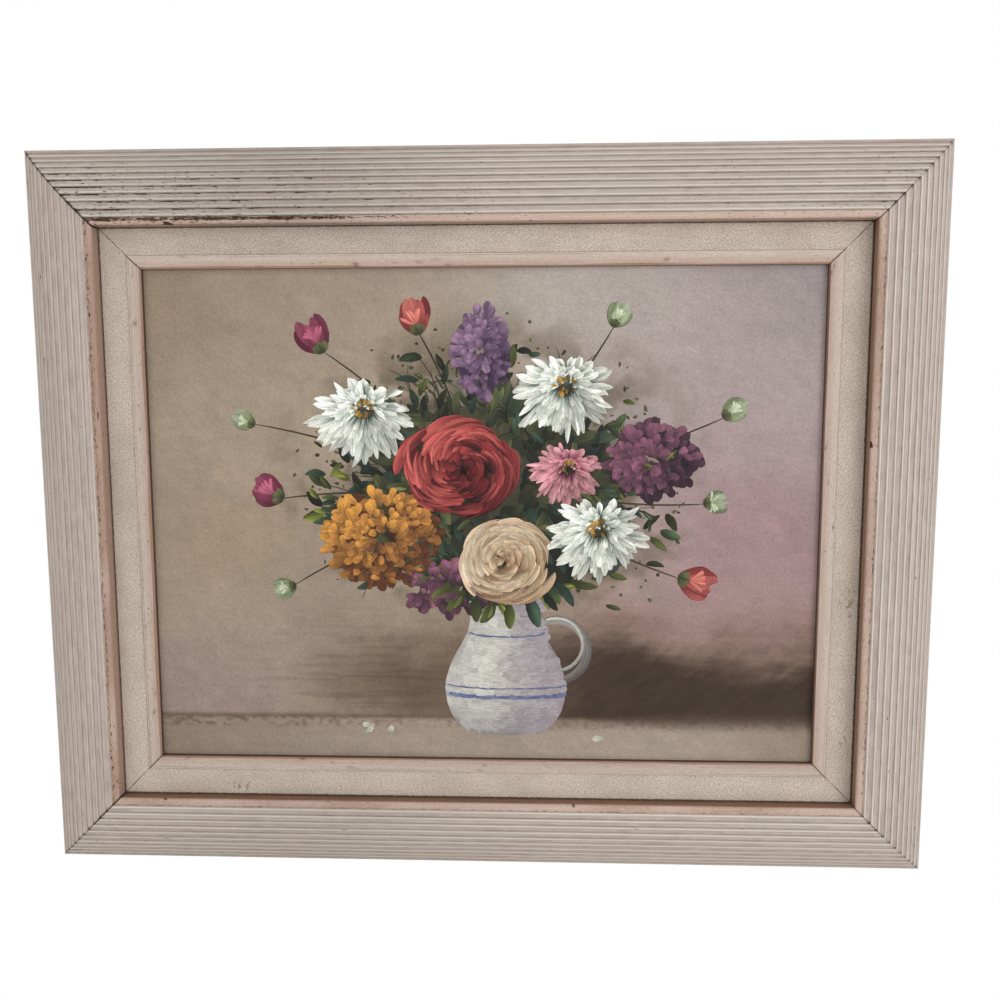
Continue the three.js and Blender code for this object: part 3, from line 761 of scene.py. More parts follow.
# A rounded rectangle carried down a profile of (inset, depth), with flat ends: front outside, back inside
def turnedCloth(name, c, finish):
    half = np.array([(canvasHigh.x - canvasLow.x) / 2, (canvasHigh.z - canvasLow.z) / 2]) / millimetre
    face = -(canvasLow.y - backY) / millimetre
    radius = c["cornerRadius"]
    path = []
    for k, out in enumerate(np.array([(0, 1), (-1, 0), (0, -1), (1, 0)])):
        travel = np.array([-out[1], out[0]])
        turn = np.linspace(0, math.pi / 2, 5) + k * math.pi / 2
        path.append((out - travel) * (half - radius) + radius * np.stack([np.cos(turn), np.sin(turn)], -1))
        path.append(out * half + np.outer(np.linspace(-1, 1, 60), travel * (half - radius - 1.5)))
    path = np.concatenate(path)
    thin, deep = c["thickness"], c["thickness"] + c["turned"]
    profile = np.array([[0.5, 0.0], [0.12, 0.12], [0, 0.5], [0, deep * 0.5], [0, deep - 0.1],
                        [thin * 0.5, deep],
                        [thin, deep - 0.1], [thin, deep * 0.5], [thin, thin]])
    outward = path / half
    outward = np.where(np.abs(outward) > 0.97, np.sign(outward), 0)
    cut = 0.8 * wobble(path[:, 0] / 6 + 40, path[:, 1] / 6, 5, 3)
    depth = np.repeat(profile[:, 1:], len(path), 1)
    depth[3:8] = depth[3:8] - np.abs(cut) * np.array([0.2, 1, 1, 1, 0.2])[:, None]
    place = path[None] - outward[None] * profile[:, None, :1]
    points = np.stack([centreX + place[..., 0] * millimetre, backY - (face - depth) * millimetre,
                       centreZ + place[..., 1] * millimetre], -1).reshape(-1, 3)
    columns = len(path)
    i, j = np.arange(len(profile) - 1)[:, None], np.arange(columns)[None]
    after = (j + 1) % columns
    walls = np.stack(np.broadcast_arrays(i * columns + j, (i + 1) * columns + j, (i + 1) * columns + after,
                                         i * columns + after), -1).reshape(-1, 4)
    front, back = np.arange(columns)[None], np.arange(columns)[None, ::-1] + (len(profile) - 1) * columns
    run = np.concatenate([[0], np.cumsum(np.hypot(*np.diff(path, axis=0).T))])
    uv = np.stack([place[..., 0] + 0 * run, place[..., 1] - depth], -1).reshape(-1, 2) * millimetre
    primed = smooth(9.0, 5.0, depth + 3 * noise(run / 9, 0 * run, 8, 2)[None]) * (profile[:, :1] < 0.3)
    return makePiece(name, points, [walls, front, back], finish,
                     values=dict(primed=primed.ravel()), uv=uv, sharp=60)


def canvasFinish(c):
    f = Finish("rawCanvas", Roughness=c["roughness"])
    threads = f.weave(c["thread"], c["thread"] * 0.94, 0.4)
    slub = f.spread(70, 800, 3.0, 0.6)
    cloud = f.spread(14, 14, 3.0, 0.6)
    base = f.mix((threads * 0.6 + slub * 0.7).between(0.3, 1.1), c["shade"], c["raw"])
    base = f.mix(cloud.between(0.5, 0.8) * 0.4, base, c["shade"])
    primed = f.mix(f.attribute("primed"), base, c["primer"])
    return f.finishWith(primed, None, threads, 0.0003)


rawCanvas = canvasFinish(canvasCut)
canvasPiece = turnedCloth("canvas_cloth", canvasCut, rawCanvas)
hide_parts("canvas")
deepTurn = (canvasCut["thickness"] + canvasCut["turned"]) * millimetre
canvasWide, canvasTall = canvasHigh.x - canvasLow.x, canvasHigh.z - canvasLow.z
canvasWide + 2 * deepTurn
canvasTall + 2 * deepTurn
canvasWide * canvasTall + 2 * deepTurn * (canvasWide + canvasTall)
print("canvas stretched")


paintedThread = 1900.0  # threads a metre that show through the paint


# The painted ground. Colours are display values of 0 to 255, places are mm from the picture's centre
ground = dict(
    halfWidth=200.0, halfHeight=149.2, step=1.2, lift=0.06, table=-121.0,
    beige=(160, 143, 126), ochre=(162, 138, 110), warm=(163, 147, 126), mauve=(170, 156, 154),
    rose=(165, 134, 137), corner=(146, 127, 107), dusk=(152, 141, 140), umber=(146, 117, 106),
    plum=(148, 128, 122),
    pearl=(180, 172, 162), brown=(96, 77, 62), dark=(60, 45, 37), haze=(96, 85, 66), foliage=(54, 52, 40),
    tableTop=(158, 143, 128), roughness=0.42,
)


# Broad areas melted into each other, by soft ovals on coordinates that noise pushes about, then brush marks
def groundColour(x, z, g):
    pushX = x + 34 * wobble(x / 48, z / 36, 1, 3) + 9 * wobble(x / 9, z / 7, 3, 2)
    pushZ = z + 30 * wobble(x / 42, z / 44, 2, 3) + 9 * wobble(x / 8, z / 9, 4, 2)
    brush = wobble((0.8 * x + 0.6 * z) / 15, (0.8 * z - 0.6 * x) / 2.8, 51, 3)
    fall = z + 0.11 * np.maximum(x - 60, 0) + 26 * wobble(x / 40, z / 30, 2, 3)
    fall = fall + 8 * wobble(x / 34 + z / 40, z / 2.6 + x / 60, 14, 3) + 5 * brush
    shade = smooth(-42, -94, fall) * smooth(-130, 60, pushX)
    colour = coats(
        g, g["beige"],
        ("corner", smooth(-120, -190, pushX) * smooth(40, 120, pushZ) * 0.7),
        ("warm", bump(pushX, pushZ, -128, 62, 55, 40) * 0.75),
        ("ochre", bump(pushX, pushZ, -150, -12, 34, 26) * 0.55),
        ("mauve", smooth(30, 130, pushX + 0.35 * pushZ) * 0.95),
        ("dusk", smooth(90, 190, pushX) * smooth(50, 130, pushZ) * 0.8),
        ("rose", bump(pushX, pushZ, 165, -22, 85, 66) * 0.95),
        ("pearl", bump(pushX, pushZ, 42, 134, 62, 32) * 0.75),
        ("umber", smooth(-14, -72, fall) * smooth(20, 120, pushX) * 0.8),
        ("plum", smooth(-50, -105, pushZ) * smooth(-80, -150, pushX) * 0.75),
        ("brown", shade * 0.95),
        ("dark", smooth(0.45, 1.0, shade) * smooth(0, 80, pushX) * 0.95))
    colour = colour * (1 + 0.26 * shade * brush)[..., None]
    dry = smooth(0.52, 0.66, noise(x / 34, z / 1.5, 12, 3)) * bump(x, z, -62, -98, 62, 30)
    haze = smooth(0.40, 0.70, noise(x / 17, z / 15, 21, 3))
    ring = smooth(146, 84, np.hypot(x - 4, (z - 18) * 1.25)) * smooth(-76, -30, z)
    core = smooth(92, 46, np.hypot(x - 4, (z - 16) * 1.22) + 46 * wobble(x / 11, z / 11, 23, 3))
    colour = coats(
        g, colour, ("brown", bump(pushX, pushZ, -42, -96, 48, 24) * 0.75), ("dark", dry * 0.22),
        ("haze", haze * ring * 0.7), ("foliage", core * smooth(-62, -48, z) * 0.9))
    edge = z - g["table"]
    soft = 0.9 + 7 * smooth(40, 130, x)  # mm over which the dark melts into the table
    table = smooth(1, -1, (edge - 0.6 * wobble(x / 25, 0 * x, 30, 2)) / soft + 0.25 * (soft > 2))
    lit = 12 * wobble(x / 60, z / 5, 31, 3) + 7 * smooth(-60, 150, x)
    crumbs = smooth(0.5, 0.7, noise(x / 2.6, z / 1.8, 36, 2)) * smooth(4.5, 1.5, np.abs(edge + 3.5))
    top = coats(
        g, g["tableTop"] + lit[..., None],
        ("brown", bump(x, z, 70, -122, 80, 5) * 0.5 + smooth(-60, -200, x) * 0.3
         + smooth(125, 190, x) * 0.28),
        ("brown", smooth(2.2, 0.0, -edge) * (0.25 + 0.3 * noise(x / 3, z / 1.5, 33, 2))),
        ("brown", crumbs * (0.35 + 0.35 * smooth(-60, -150, x))))
    line = np.exp(-(edge / 1.3) ** 2) * smooth(40, -20, x)
    colour = blend(blend(colour, top, table), g["brown"], line * (0.45 + 0.4 * noise(x / 9, z / 4, 37, 2)))
    marks = wobble(x / 11 + 4 * noise(x / 30, z / 30, 40, 2), z / 8, 41, 3)
    cross = wobble((x + z) / 7 + 3 * noise(x / 25, z / 22, 44, 2), (z - x) / 22, 43, 3)
    colour = colour * (1 + 0.06 * marks + 0.06 * cross)[..., None]
    return colour + np.stack([marks * 2, 0 * marks, -cross * 2], -1)


# Paint thickness of the ground: low furrows along the brush marks, thin enough to show the threads
def groundHeight(x, z):
    marks = wobble(x / 14 + 3 * noise(x / 30, z / 30, 40), z / 1.7, 41, 3)
    cross = wobble((x + z) / 2.4, (z - x) / 20, 43, 3)
    return 0.03 * marks + 0.035 * cross


# A piece of paint on the canvas. x, z and height above it are mm, uv is mm along and across the brush
def layPaint(name, x, z, height, colour, faces, uv, finish):
    places = [centreX + x * millimetre, canvasLow.y - height * millimetre, centreZ + z * millimetre]
    return makePiece(name, np.stack(places, -1).reshape(-1, 3), [faces], finish, sharp=0,
                     colours=linear(colour).reshape(-1, 3), uv=np.stack(uv, -1).reshape(-1, 2) * millimetre)


def closeEdge(height, low):  # the grid's border comes down to low
    closed = np.full(height.shape, low)
    closed[1:-1, 1:-1] = height[1:-1, 1:-1]
    return closed


# Oil paint: the painted colour with bristle streaks that follow the stroke, the canvas showing through it,
# fine grain, and a soft shine
def paintFinish(name, roughness, streak, contrast, through=0.12, drift=0.0):
    f = Finish(name, Roughness=roughness, Specular_IOR_Level=0.22)
    bristle, fine = f.spread(*streak, 3.0, 0.6), f.spread(900, 900, 2.0, 0.6)
    grain, cloud = f.cloud(1150, 3.0, 0.65), f.cloud(150, 3.0, 0.6)
    threads = f.weave(paintedThread, paintedThread, 0.6, "Object")
    patch = f.cloud(16, 3.0, 0.6).between(0.3, 0.7)
    factor = bristle.between(0.25, 0.75) * contrast + (1.02 - contrast / 2) + (cloud - 0.5) * drift
    factor = factor + (threads - 0.42) * (patch * through + through * 0.6) + (grain - 0.5) * 0.85
    height = bristle * 0.5 + fine * 0.1 + threads * (patch * 0.5 + 0.2)
    return f.finishWith(f.tint(f.attribute("paint", "Color"), factor), roughness + fine * 0.14, height,
                        0.00022)


def layGround(g):
    wide, tall = g["halfWidth"], g["halfHeight"]
    columns, rows = int(2 * wide / g["step"]), int(2 * tall / g["step"])
    x, z = np.meshgrid(np.linspace(-wide, wide, columns), np.linspace(tall, -tall, rows))
    height = closeEdge(g["lift"] + groundHeight(x, z), 0.004)
    finish = paintFinish("groundPaint", g["roughness"], (110, 300), 0.08, 0.15)
    layPaint("paint_ground", x, z, height, groundColour(x, z, g), gridFaces(rows, columns), (x, z), finish)


layGround(ground)
print("ground painted")


# Brush strokes as sets of arrays. x, z place the start, heading and bend are radians, sizes are mm
strokeDefaults = dict(x=0, z=0, heading=0, bend=0, long=10, wide=4, peak=0.6, blunt=0.6, layer=0.1,
                      thick=0.12, lean=0.0, bristle=0.36, base=(128, 128, 128), tip=(128, 128, 128))


def strokeSet(count, **given):
    made = {}
    for key, usual in strokeDefaults.items():
        shape = (count, 3) if key in ("base", "tip") else (count,)
        made[key] = np.broadcast_to(np.asarray(given.get(key, usual), float), shape).copy()
    return made


# Each stroke is a grid: along a bending centre line, across a width that swells and tapers. Its top is
# domed and furrowed by the bristles, and its border comes down to the ground
def layStrokes(name, sets, finish, rows=15, columns=9):
    s = {key: np.concatenate([one[key] for one in sets]) for key in strokeDefaults}
    count = len(s["x"])
    seed = np.arange(count)[:, None, None] * 0.731
    t = np.linspace(0, 1, rows)[None, :]
    turn = s["heading"][:, None] + s["bend"][:, None] * t
    middle = (turn[:, 1:] + turn[:, :-1]) / 2
    step = s["long"][:, None] / (rows - 1)
    x, z = (s[key][:, None] + np.pad(np.cumsum(way(middle) * step, 1), ((0, 0), (1, 0)))
            for key, way in (("x", np.cos), ("z", np.sin)))
    power = (math.log(0.5) / np.log(s["peak"]))[:, None]
    swell = np.sin(math.pi * np.clip(t, 0.004, 0.996) ** power) ** s["blunt"][:, None]
    v = np.array([-1, -0.9, *np.linspace(-0.66, 0.66, columns - 4), 0.9, 1])[None, None, :]
    t = t[..., None]
    ragged = 1 + 0.36 * wobble(t * 7 + seed * 3, np.sign(v) * 2 + seed, 51, 2)
    across = v * (s["wide"][:, None] / 2 * swell)[..., None] * ragged
    furrow = wobble(v * 3.3 + seed * 7, t * 0.7 + seed, 52, 2)
    dome = (1 - v ** 2) * (0.55 + 0.45 * np.sin(math.pi * t)) + 0.55 * furrow
    layer, thick, lean, bristle, long = (s[key][:, None, None] for key in
                                         ("layer", "thick", "lean", "bristle", "long"))
    border = (np.abs(v) > 0.99) | (t < 0.001) | (t > 0.999)
    height = np.where(border, 0.02, np.maximum(layer + thick * dome, 0.03))
    colour = blend(s["base"][:, None, None], s["tip"][:, None, None], smooth(0.1, 0.85, t + 0.5 * furrow))
    colour = colour * (1 - lean * v + bristle * furrow)[..., None]
    faces = gridFaces(rows, columns)[None] + np.arange(count)[:, None, None] * (rows * columns)
    layPaint(name, x[..., None] - np.sin(turn)[..., None] * across,
             z[..., None] + np.cos(turn)[..., None] * across,
             height, colour, faces.reshape(-1, 4), (long * t + seed * 37 + 0 * v, across + seed * 11),
             finish)


def draws(random, count):  # even and bell-shaped random numbers, one for each stroke
    def flat(low, high):
        return random.uniform(low, high, count)

    def bell(spread, middle=0):
        return random.normal(middle, spread, count)
    return flat, bell


def shadeBy(colour, amount):  # a colour for each stroke, made lighter or darker by amount
    return np.asarray(colour, float)[None, :] * (1 + np.asarray(amount, float))[:, None]


def around(at, angle, wide, tall):  # a point on an oval
    return at[0] + wide * np.cos(angle), at[1] + tall * np.sin(angle)


circle = 2 * math.pi
lightFrom = 2.3  # radians: the painted light comes from the upper left
squash = 0.82  # blooms are seen a little from the side


# Petals on an oval ring: each runs from a point round the heart, which sits high in the bloom, to its rim
def petalRing(random, at, count, inner, outer, wide, layer, base, tip, heart):
    flat, bell = draws(random, count)
    angle = np.linspace(0, circle, count, endpoint=False) + bell(1.0 / count)
    ray = np.stack([np.cos(angle), squash * np.sin(angle)])
    start = ray * inner + np.array(heart)[:, None]
    reach = ray * outer * flat(0.74, 1.12) - start
    lit = 0.12 * np.cos(angle - lightFrom) + bell(0.07)
    order = random.permutation(count) / count
    return strokeSet(count, x=at[0] + start[0], z=at[1] + start[1],
                     heading=np.arctan2(reach[1], reach[0]) + bell(0.16), bend=bell(0.25),
                     long=np.hypot(*reach), wide=wide * flat(0.65, 1.3), peak=0.62, blunt=0.74,
                     layer=layer + 0.08 * order, thick=0.18, base=shadeBy(base, lit - 0.15 + 0.3 * order),
                     tip=shadeBy(tip, lit - 0.12 + 0.16 * order))


# Short plump dabs scattered in an oval, lighter towards the upper left
def dabs(random, at, radii, count, size, layer, dark, pale, thick=0.14, lengths=(1.1, 1.9)):
    flat, bell = draws(random, count)
    angle, out = flat(0, circle), np.sqrt(flat(0, 1))
    dx, dz = out * np.cos(angle), out * np.sin(angle)
    mix = np.clip(0.42 + 0.38 * (dz - dx) + bell(0.28), 0, 1)
    colour = blend(dark, pale, mix)
    wide = size * flat(0.75, 1.25)
    return strokeSet(count, x=at[0] + radii[0] * dx, z=at[1] + radii[1] * dz,
                     heading=np.arctan2(dz, dx) + bell(0.6), bend=bell(0.4), long=wide * flat(*lengths),
                     wide=wide, blunt=0.5, layer=layer + 0.12 * mix, thick=thick, base=colour * 0.86,
                     tip=colour * 1.1)


# A few broad dark dabs that close the gaps between petals
def underpaint(random, at, radius, colour, layer):
    return dabs(random, at, (0.42 * radius, 0.34 * radius), 22, radius * 0.5, layer, np.array(colour) * 0.7,
                colour, 0.05, (0.9, 1.2))


# A many-petalled bloom: rings laid from the rim inwards round a heart of dabs. A ring is its count of
# petals, where they start and end and how wide they are, in radii of the bloom
daisyRings = ((38, 0.30, 1.0, 0.16), (40, 0.27, 0.88, 0.14), (34, 0.23, 0.70, 0.13), (26, 0.18, 0.52, 0.11),
              (18, 0.14, 0.36, 0.09))


def daisy(random, at, radius, dark, shade, pale, heart, layer):
    high = (0.04 * radius, 0.2 * radius)
    made = [underpaint(random, at, radius * 0.8, dark, layer - 0.12)]
    for k, (count, inner, outer, wide) in enumerate(daisyRings):
        made.append(petalRing(random, at, count, inner * radius, outer * radius, wide * radius,
                              layer + 0.13 * k, dark if k in (0, 4) else shade, pale, high))
    middle = (at[0] + high[0], at[1] + high[1])
    made.append(dabs(random, middle, (0.16 * radius, 0.11 * radius), 30, 0.07 * radius, layer + 0.52,
                     *heart))
    return made


# Petals that curl round the heart: crescents on shrinking rings, each lighter along its outer rim. A
# ring is its count, its radius as a part of the bloom's, and how light it is
roseRings = ((13, 0.86, 0.5), (12, 0.70, 0.7), (10, 0.54, 0.6), (8, 0.39, 0.45), (6, 0.25, 0.25),
             (4, 0.12, 0.05))


def rose(random, at, radius, dark, mid, pale, layer):
    made = [underpaint(random, at, radius * 0.8, dark, layer - 0.12)]
    for k, (count, out, tone) in enumerate(roseRings):
        flat, bell = draws(random, count)
        angle = random.uniform(0, 1) + np.linspace(0, circle, count, endpoint=False) + bell(0.2)
        sweep = flat(0.85, 1.5)
        lit = np.clip(tone + 0.38 * np.cos(angle + sweep / 2 - lightFrom) + bell(0.16), 0, 1)
        tip = blend(mid, pale, lit * flat(0.5, 1))
        r = out * radius * flat(0.9, 1.1)
        x, z = around(at, angle, r, 0.9 * r)
        z = z + 0.01 * radius * k
        wide = radius * flat(0.2, 0.34)
        heading = angle + math.pi / 2 + bell(0.16, 0.05)
        level = layer + 0.1 * k + 0.05 * flat(0, 1)
        made.append(strokeSet(count, x=x, z=z, heading=heading, bend=sweep, long=r * sweep + 0.05 * radius,
                              lean=0.3, wide=wide, peak=0.5, blunt=0.5, layer=level, thick=0.2,
                              base=blend(dark, mid, lit), tip=tip))
        x, z = around((x, z), angle, 0.35 * wide, 0.35 * wide)
        made.append(strokeSet(count, x=x, z=z, heading=heading, bend=sweep, long=r * sweep * 0.8,
                              wide=wide * 0.22, blunt=0.7, layer=level + 0.2, thick=0.08, base=tip * 0.95,
                              tip=blend(tip, pale, lit)))
    return made


# A closed bloom on its stem: petals fanned from its foot along one heading, the front ones last
def cup(random, at, size, heading, dark, pale, layer=0.25, count=9):
    flat, bell = draws(random, count)
    fan = np.linspace(1, -1, count)
    fan = fan[np.argsort(-np.abs(fan))] * 0.78 + bell(0.06)
    order = np.linspace(0, 1, count)
    lit = blend(dark, pale, np.clip(0.2 + 0.6 * order + bell(0.15), 0, 1))
    body = strokeSet(count, x=at[0], z=at[1], heading=heading + fan, bend=-fan * 1.1,
                     long=size * flat(0.8, 1.12), wide=size * flat(0.3, 0.42), blunt=0.55,
                     layer=layer + 0.16 * order, thick=0.16, base=shadeBy(dark, order * 0.2), tip=lit)
    x, z = around(at, heading, 0.3 * size, 0.3 * size)
    bell = draws(random, 6)[1]
    streaks = strokeSet(6, x=x, z=z, heading=heading + bell(0.5), bend=bell(0.5), long=size * 0.5,
                        wide=size * 0.1, layer=layer + 0.3, thick=0.08, base=blend(lit[-1], pale, 0.4),
                        tip=np.array(pale) * 1.12)
    aside = np.array([0.9, -0.9, 0])
    foot = strokeSet(3, x=at[0], z=at[1], heading=heading + aside, bend=-aside, long=size * 0.36,
                     wide=size * 0.2, layer=layer + 0.3, thick=0.1, base=(58, 62, 40), tip=(96, 98, 62))
    return [body, streaks, foot]


# Leaves: each a broad tapering stroke, some bluish, some with a lighter touch along one edge
def leaves(random, x, z, heading, long, dark, pale, layer, bluish=(46, 68, 60)):
    count = len(x)
    flat, bell = draws(random, count)
    tone = flat(0, 1) ** 1.5
    colour = blend(blend(dark, pale, tone), bluish, (flat(0, 1) < 0.3) * flat(0.3, 0.9))
    bend = bell(0.5)
    body = strokeSet(count, x=x, z=z, heading=heading, bend=bend, long=long, wide=long * flat(0.28, 0.46),
                     peak=0.45, blunt=0.7, layer=layer + 0.12 * tone, lean=bell(0.18), base=colour * 0.7,
                     tip=colour * flat(0.95, 1.15)[:, None])
    some = flat(0, 1) < 0.3
    x, z, heading, bend, long, colour = (a[some] for a in (x, z, heading, bend, long, colour))
    x, z = around((x, z), heading, 0.2 * long, 0.2 * long)
    touch = strokeSet(len(x), x=x, z=z, heading=heading + 0.15, bend=bend, long=0.55 * long,
                      wide=0.14 * long, peak=0.5, blunt=0.7, layer=layer + 0.26, thick=0.06,
                      base=colour * 1.1, tip=colour * 1.4)
    return [body, touch]


def stems(x, z, heading, bend, long, wide, colour, layer):
    return [strokeSet(len(x), x=x, z=z, heading=heading, bend=bend, long=long, wide=wide, peak=0.35,
                      blunt=0.3, layer=layer, thick=0.08, base=colour, tip=np.array(colour) * 1.2)]


# A tall white jug with plain blue rings, drawn as its outline turned towards the viewer. Sizes in mm
jug = dict(
    x=14.0, heights=(-131, -127, -116, -102, -88, -76, -65, -56, -48),
    halves=(24, 29, 35, 37, 33, 26, 21, 21.5, 25), sag=3.2,
    rings=((-107, 2.4), (-101.5, 0.8), (-69.5, 0.9)), handle=(34, -62, 0.45, -3.5, 66, 6.0),
    light=(208, 206, 196), grey=(138, 131, 134), shadow=(104, 92, 90), lilac=(176, 164, 172),
    blue=(88, 98, 140), sheen=(224, 222, 212), lift=0.12, roughness=0.4, seed=31, touches=260,
    ringTouches=26,
)


def sagging(j, u, height):  # rows of the jug's face hang as ellipses do
    return height - j["sag"] * np.sqrt(np.clip(1 - u ** 2, 0, 1)) + j["sag"] / 2


# The jug's face: half widths smoothed over height, rows sagging as ellipses do, lit from the upper left
def paintJug(j, finish, rows=96, columns=64):
    height = np.linspace(j["heights"][-1], j["heights"][0], rows)
    half = np.interp(height, j["heights"], j["halves"])
    half = np.convolve(np.pad(half, 6, mode="edge"), np.ones(13) / 13, "valid")
    half = half * np.sqrt(np.clip((height - j["heights"][0] + 0.8) / 4, 0, 1)) ** 0.35
    u = np.sin(np.linspace(-math.pi / 2, math.pi / 2, columns))[None, :]
    z0 = height[:, None] + 0 * u
    x = j["x"] + u * half[:, None] * (1 + 0.012 * wobble(z0 / 6, np.sign(u) * 3, 70, 2))
    z = sagging(j, u, z0)
    marks = wobble(u * 1.8 + z0 / 26, z0 / 8 - u * 0.8, 71, 3)
    streaks = wobble(u * 5, z0 / 12, 72, 3)
    lit = np.clip(0.78 - 0.55 * np.clip(u + 0.25, 0, 1) - 0.25 * np.clip(-u - 0.6, 0, 1)
                  - 0.35 * smooth(-108, -130, z0) + 0.5 * marks + 0.25 * streaks, 0, 1)
    colour = blend(j["grey"], j["light"], lit)
    colour = blend(colour, j["shadow"], smooth(0.72, 1.02, u + 0.2 * marks) * 0.7 + smooth(-120, -131,
                                                                                           z0) * 0.35)
    colour = blend(colour, j["lilac"], smooth(0.1, 0.7, u + 0.4 * marks) * smooth(-64, -90, z0) * 0.6)
    colour = blend(colour, j["shadow"], smooth(-58, -46, z0) * 0.5)
    colour = blend(colour, j["sheen"], bump(u, z0, -0.42, -90, 0.2, 11) * (0.7 + marks))
    for middle, thick in j["rings"]:
        band = smooth(1.0, 0.5, np.abs(z0 - middle + 0.5 * marks) / thick)
        colour = blend(colour, j["blue"], band * (0.72 + 0.7 * streaks) * np.sqrt(np.clip(1 - u ** 2,
                                                                                          0.15, 1)))
    lift = j["lift"] + 0.10 * marks + 0.06 * streaks
    layPaint("paint_jug", x, z, closeEdge(np.maximum(lift, 0.07), 0.02), colour, gridFaces(rows, columns),
             (x, z), finish)


# Broad touches over the jug's face: they sag as its ellipses do and are lit as its face is. Its rings are
# painted over them in short overlapping touches
def glazeJug(j, finish):
    random = np.random.default_rng(j["seed"])
    flat, bell = draws(random, j["touches"])
    u = np.sin(flat(-1.25, 1.15))
    height = flat(j["heights"][0] + 5, j["heights"][-1] - 3)
    half = np.interp(height, j["heights"], j["halves"])
    lit = (0.8 - 0.6 * np.clip(u + 0.3, 0, 1) - 0.3 * np.clip(-u - 0.7, 0, 1)
           - 0.4 * smooth(-104, -130, height) - 0.45 * smooth(-62, -48, height) + bell(0.06))
    colour = blend(j["grey"], j["light"], np.clip(lit, 0, 1))
    colour = blend(colour, j["lilac"], smooth(0.0, 0.6, u) * flat(0.3, 0.6))
    colour = blend(colour, j["sheen"], bump(u, height, -0.42, -88, 0.22, 14) * flat(0.2, 0.8))
    room = np.sqrt(1 - u ** 2)
    wide, long = flat(4, 7), flat(7, 15) * (0.35 + 0.65 * room)
    x = j["x"] + u * half * 0.95 - 0.5 * long * room
    sets = [strokeSet(j["touches"], x=x, z=sagging(j, u, height), heading=0.3 * u + bell(0.22),
                      bend=bell(0.2),
                      long=long, wide=wide, blunt=0.35, bristle=0.14, thick=0.05,
                      layer=j["lift"] + 0.08 * flat(0, 1), base=colour, tip=colour)]
    turn = np.linspace(-1.35, 1.3, j["ringTouches"])
    flat, bell = draws(random, len(turn))
    u = np.sin(turn)
    for middle, thick in j["rings"]:
        half = np.interp(middle, j["heights"], j["halves"])
        tone = blend(j["grey"], j["blue"], flat(0.55, 1.0))
        sets.append(strokeSet(len(turn), x=j["x"] + u * half * 0.97, z=sagging(j, u, middle),
                              heading=0.09 * u + bell(0.04), long=half * np.cos(turn) * 0.16 + 1.2,
                              wide=thick * flat(0.7, 1.3), layer=j["lift"] + 0.2, thick=0.04, blunt=0.35,
                              base=tone, tip=tone * 1.06))
    layStrokes("paint_glaze", sets, finish, 9, 6)


# Where each bloom stands, mm from the picture's centre, with its size
# and heading, and the paints it is made with
bouquet = dict(
    seed=23, heart=(6, 16), roughness=0.36,
    white=((72, 86, 76), (150, 162, 152), (232, 233, 222)), daisyHeart=((52, 46, 30), (178, 138, 66)),
    crimson=((40, 14, 18), (98, 27, 31), (200, 100, 92)),
    pink=((70, 26, 44), (146, 72, 92), (206, 146, 152)),
    cream=((128, 98, 72), (180, 154, 124), (208, 190, 166)), orange=((84, 48, 30), (208, 146, 68)),
    purple=((50, 32, 42), (134, 84, 104)), violet=((64, 46, 70), (140, 110, 136)),
    magenta=((84, 30, 50), (172, 90, 112)), coral=((112, 40, 42), (200, 116, 104)),
    bud=((108, 120, 86), (186, 194, 166)), under=((28, 30, 24), (62, 60, 42)),
    leafDark=(30, 34, 26), leafPale=(84, 88, 54), leafBright=(122, 130, 56), mist=(112, 108, 84),
    stem=(58, 50, 38), fleck=(58, 50, 38),
    front=(("daisy", -70, 58, 32, 0.35), ("daisy", 48, 72, 31, 0.35), ("crimson", -12, 30, 34, 0.45),
           ("daisy", 68, -12, 30, 0.5), ("cream", 14, -24, 28, 0.6)),
    asters=((50, 26, 23),), clusters=dict(purple=(100, 36), violet=(0, 98), orange=(-60, -12),
                                          low=(-18, -42)),
    tulips=((-118, 12, 16, 2.7), (-92, 98, 16, 2.1)), poppies=((116, -34, 17, 6.0), (-36, 108, 16, 1.8)),
    buds=((76, 112, 13, 1.1), (-134, 56, 12, 2.7), (140, 60, 14, 0.5), (-112, -40, 12, 3.4),
          (130, 10, 12, 0.1)),
    hanging=((-18, -38, -2.4), (-10, -42, -2.1), (-2, -46, -1.9), (6, -48, -1.6), (28, -46, -1.3),
             (36, -42, -1.1), (44, -38, -0.7), (52, -36, -0.5), (-26, -32, -2.7), (16, -50, -1.5)),
)


# A dark mass of leaves round the heart, a looser rim of them, and a few that hang over the jug
def paintLeaves(b, random, finish):
    heart, green = b["heart"], b["leafDark"]
    under = dabs(random, (heart[0], heart[1] - 4), (60, 42), 120, 15, 0.05, *b["under"], 0.06, (1.0, 1.5))
    flat, bell = draws(random, 330)
    angle, out = flat(0, circle), np.sqrt(flat(0.05, 1))
    x, z = around(heart, angle, 74 * out, 56 * out)
    mass = leaves(random, x, z, angle + bell(0.8), flat(11, 20), green, b["leafPale"], 0.14)
    flat, bell = draws(random, 130)
    rim = flat(0, circle)
    x, z = around(heart, rim, 92, 66)
    z = np.where(z < -44, -44 + flat(0, 14), z)
    outer = leaves(random, x + bell(10), z + bell(8), rim + bell(0.7), flat(6, 15), green,
                   b["leafBright"], 0.16)
    x, z, heading = np.array(b["hanging"]).T
    over = leaves(random, x, z, heading, random.uniform(14, 21, len(x)), green, b["leafBright"], 0.34)
    layStrokes("paint_leaves", [under] + mass + outer + over, finish, 10, 6)


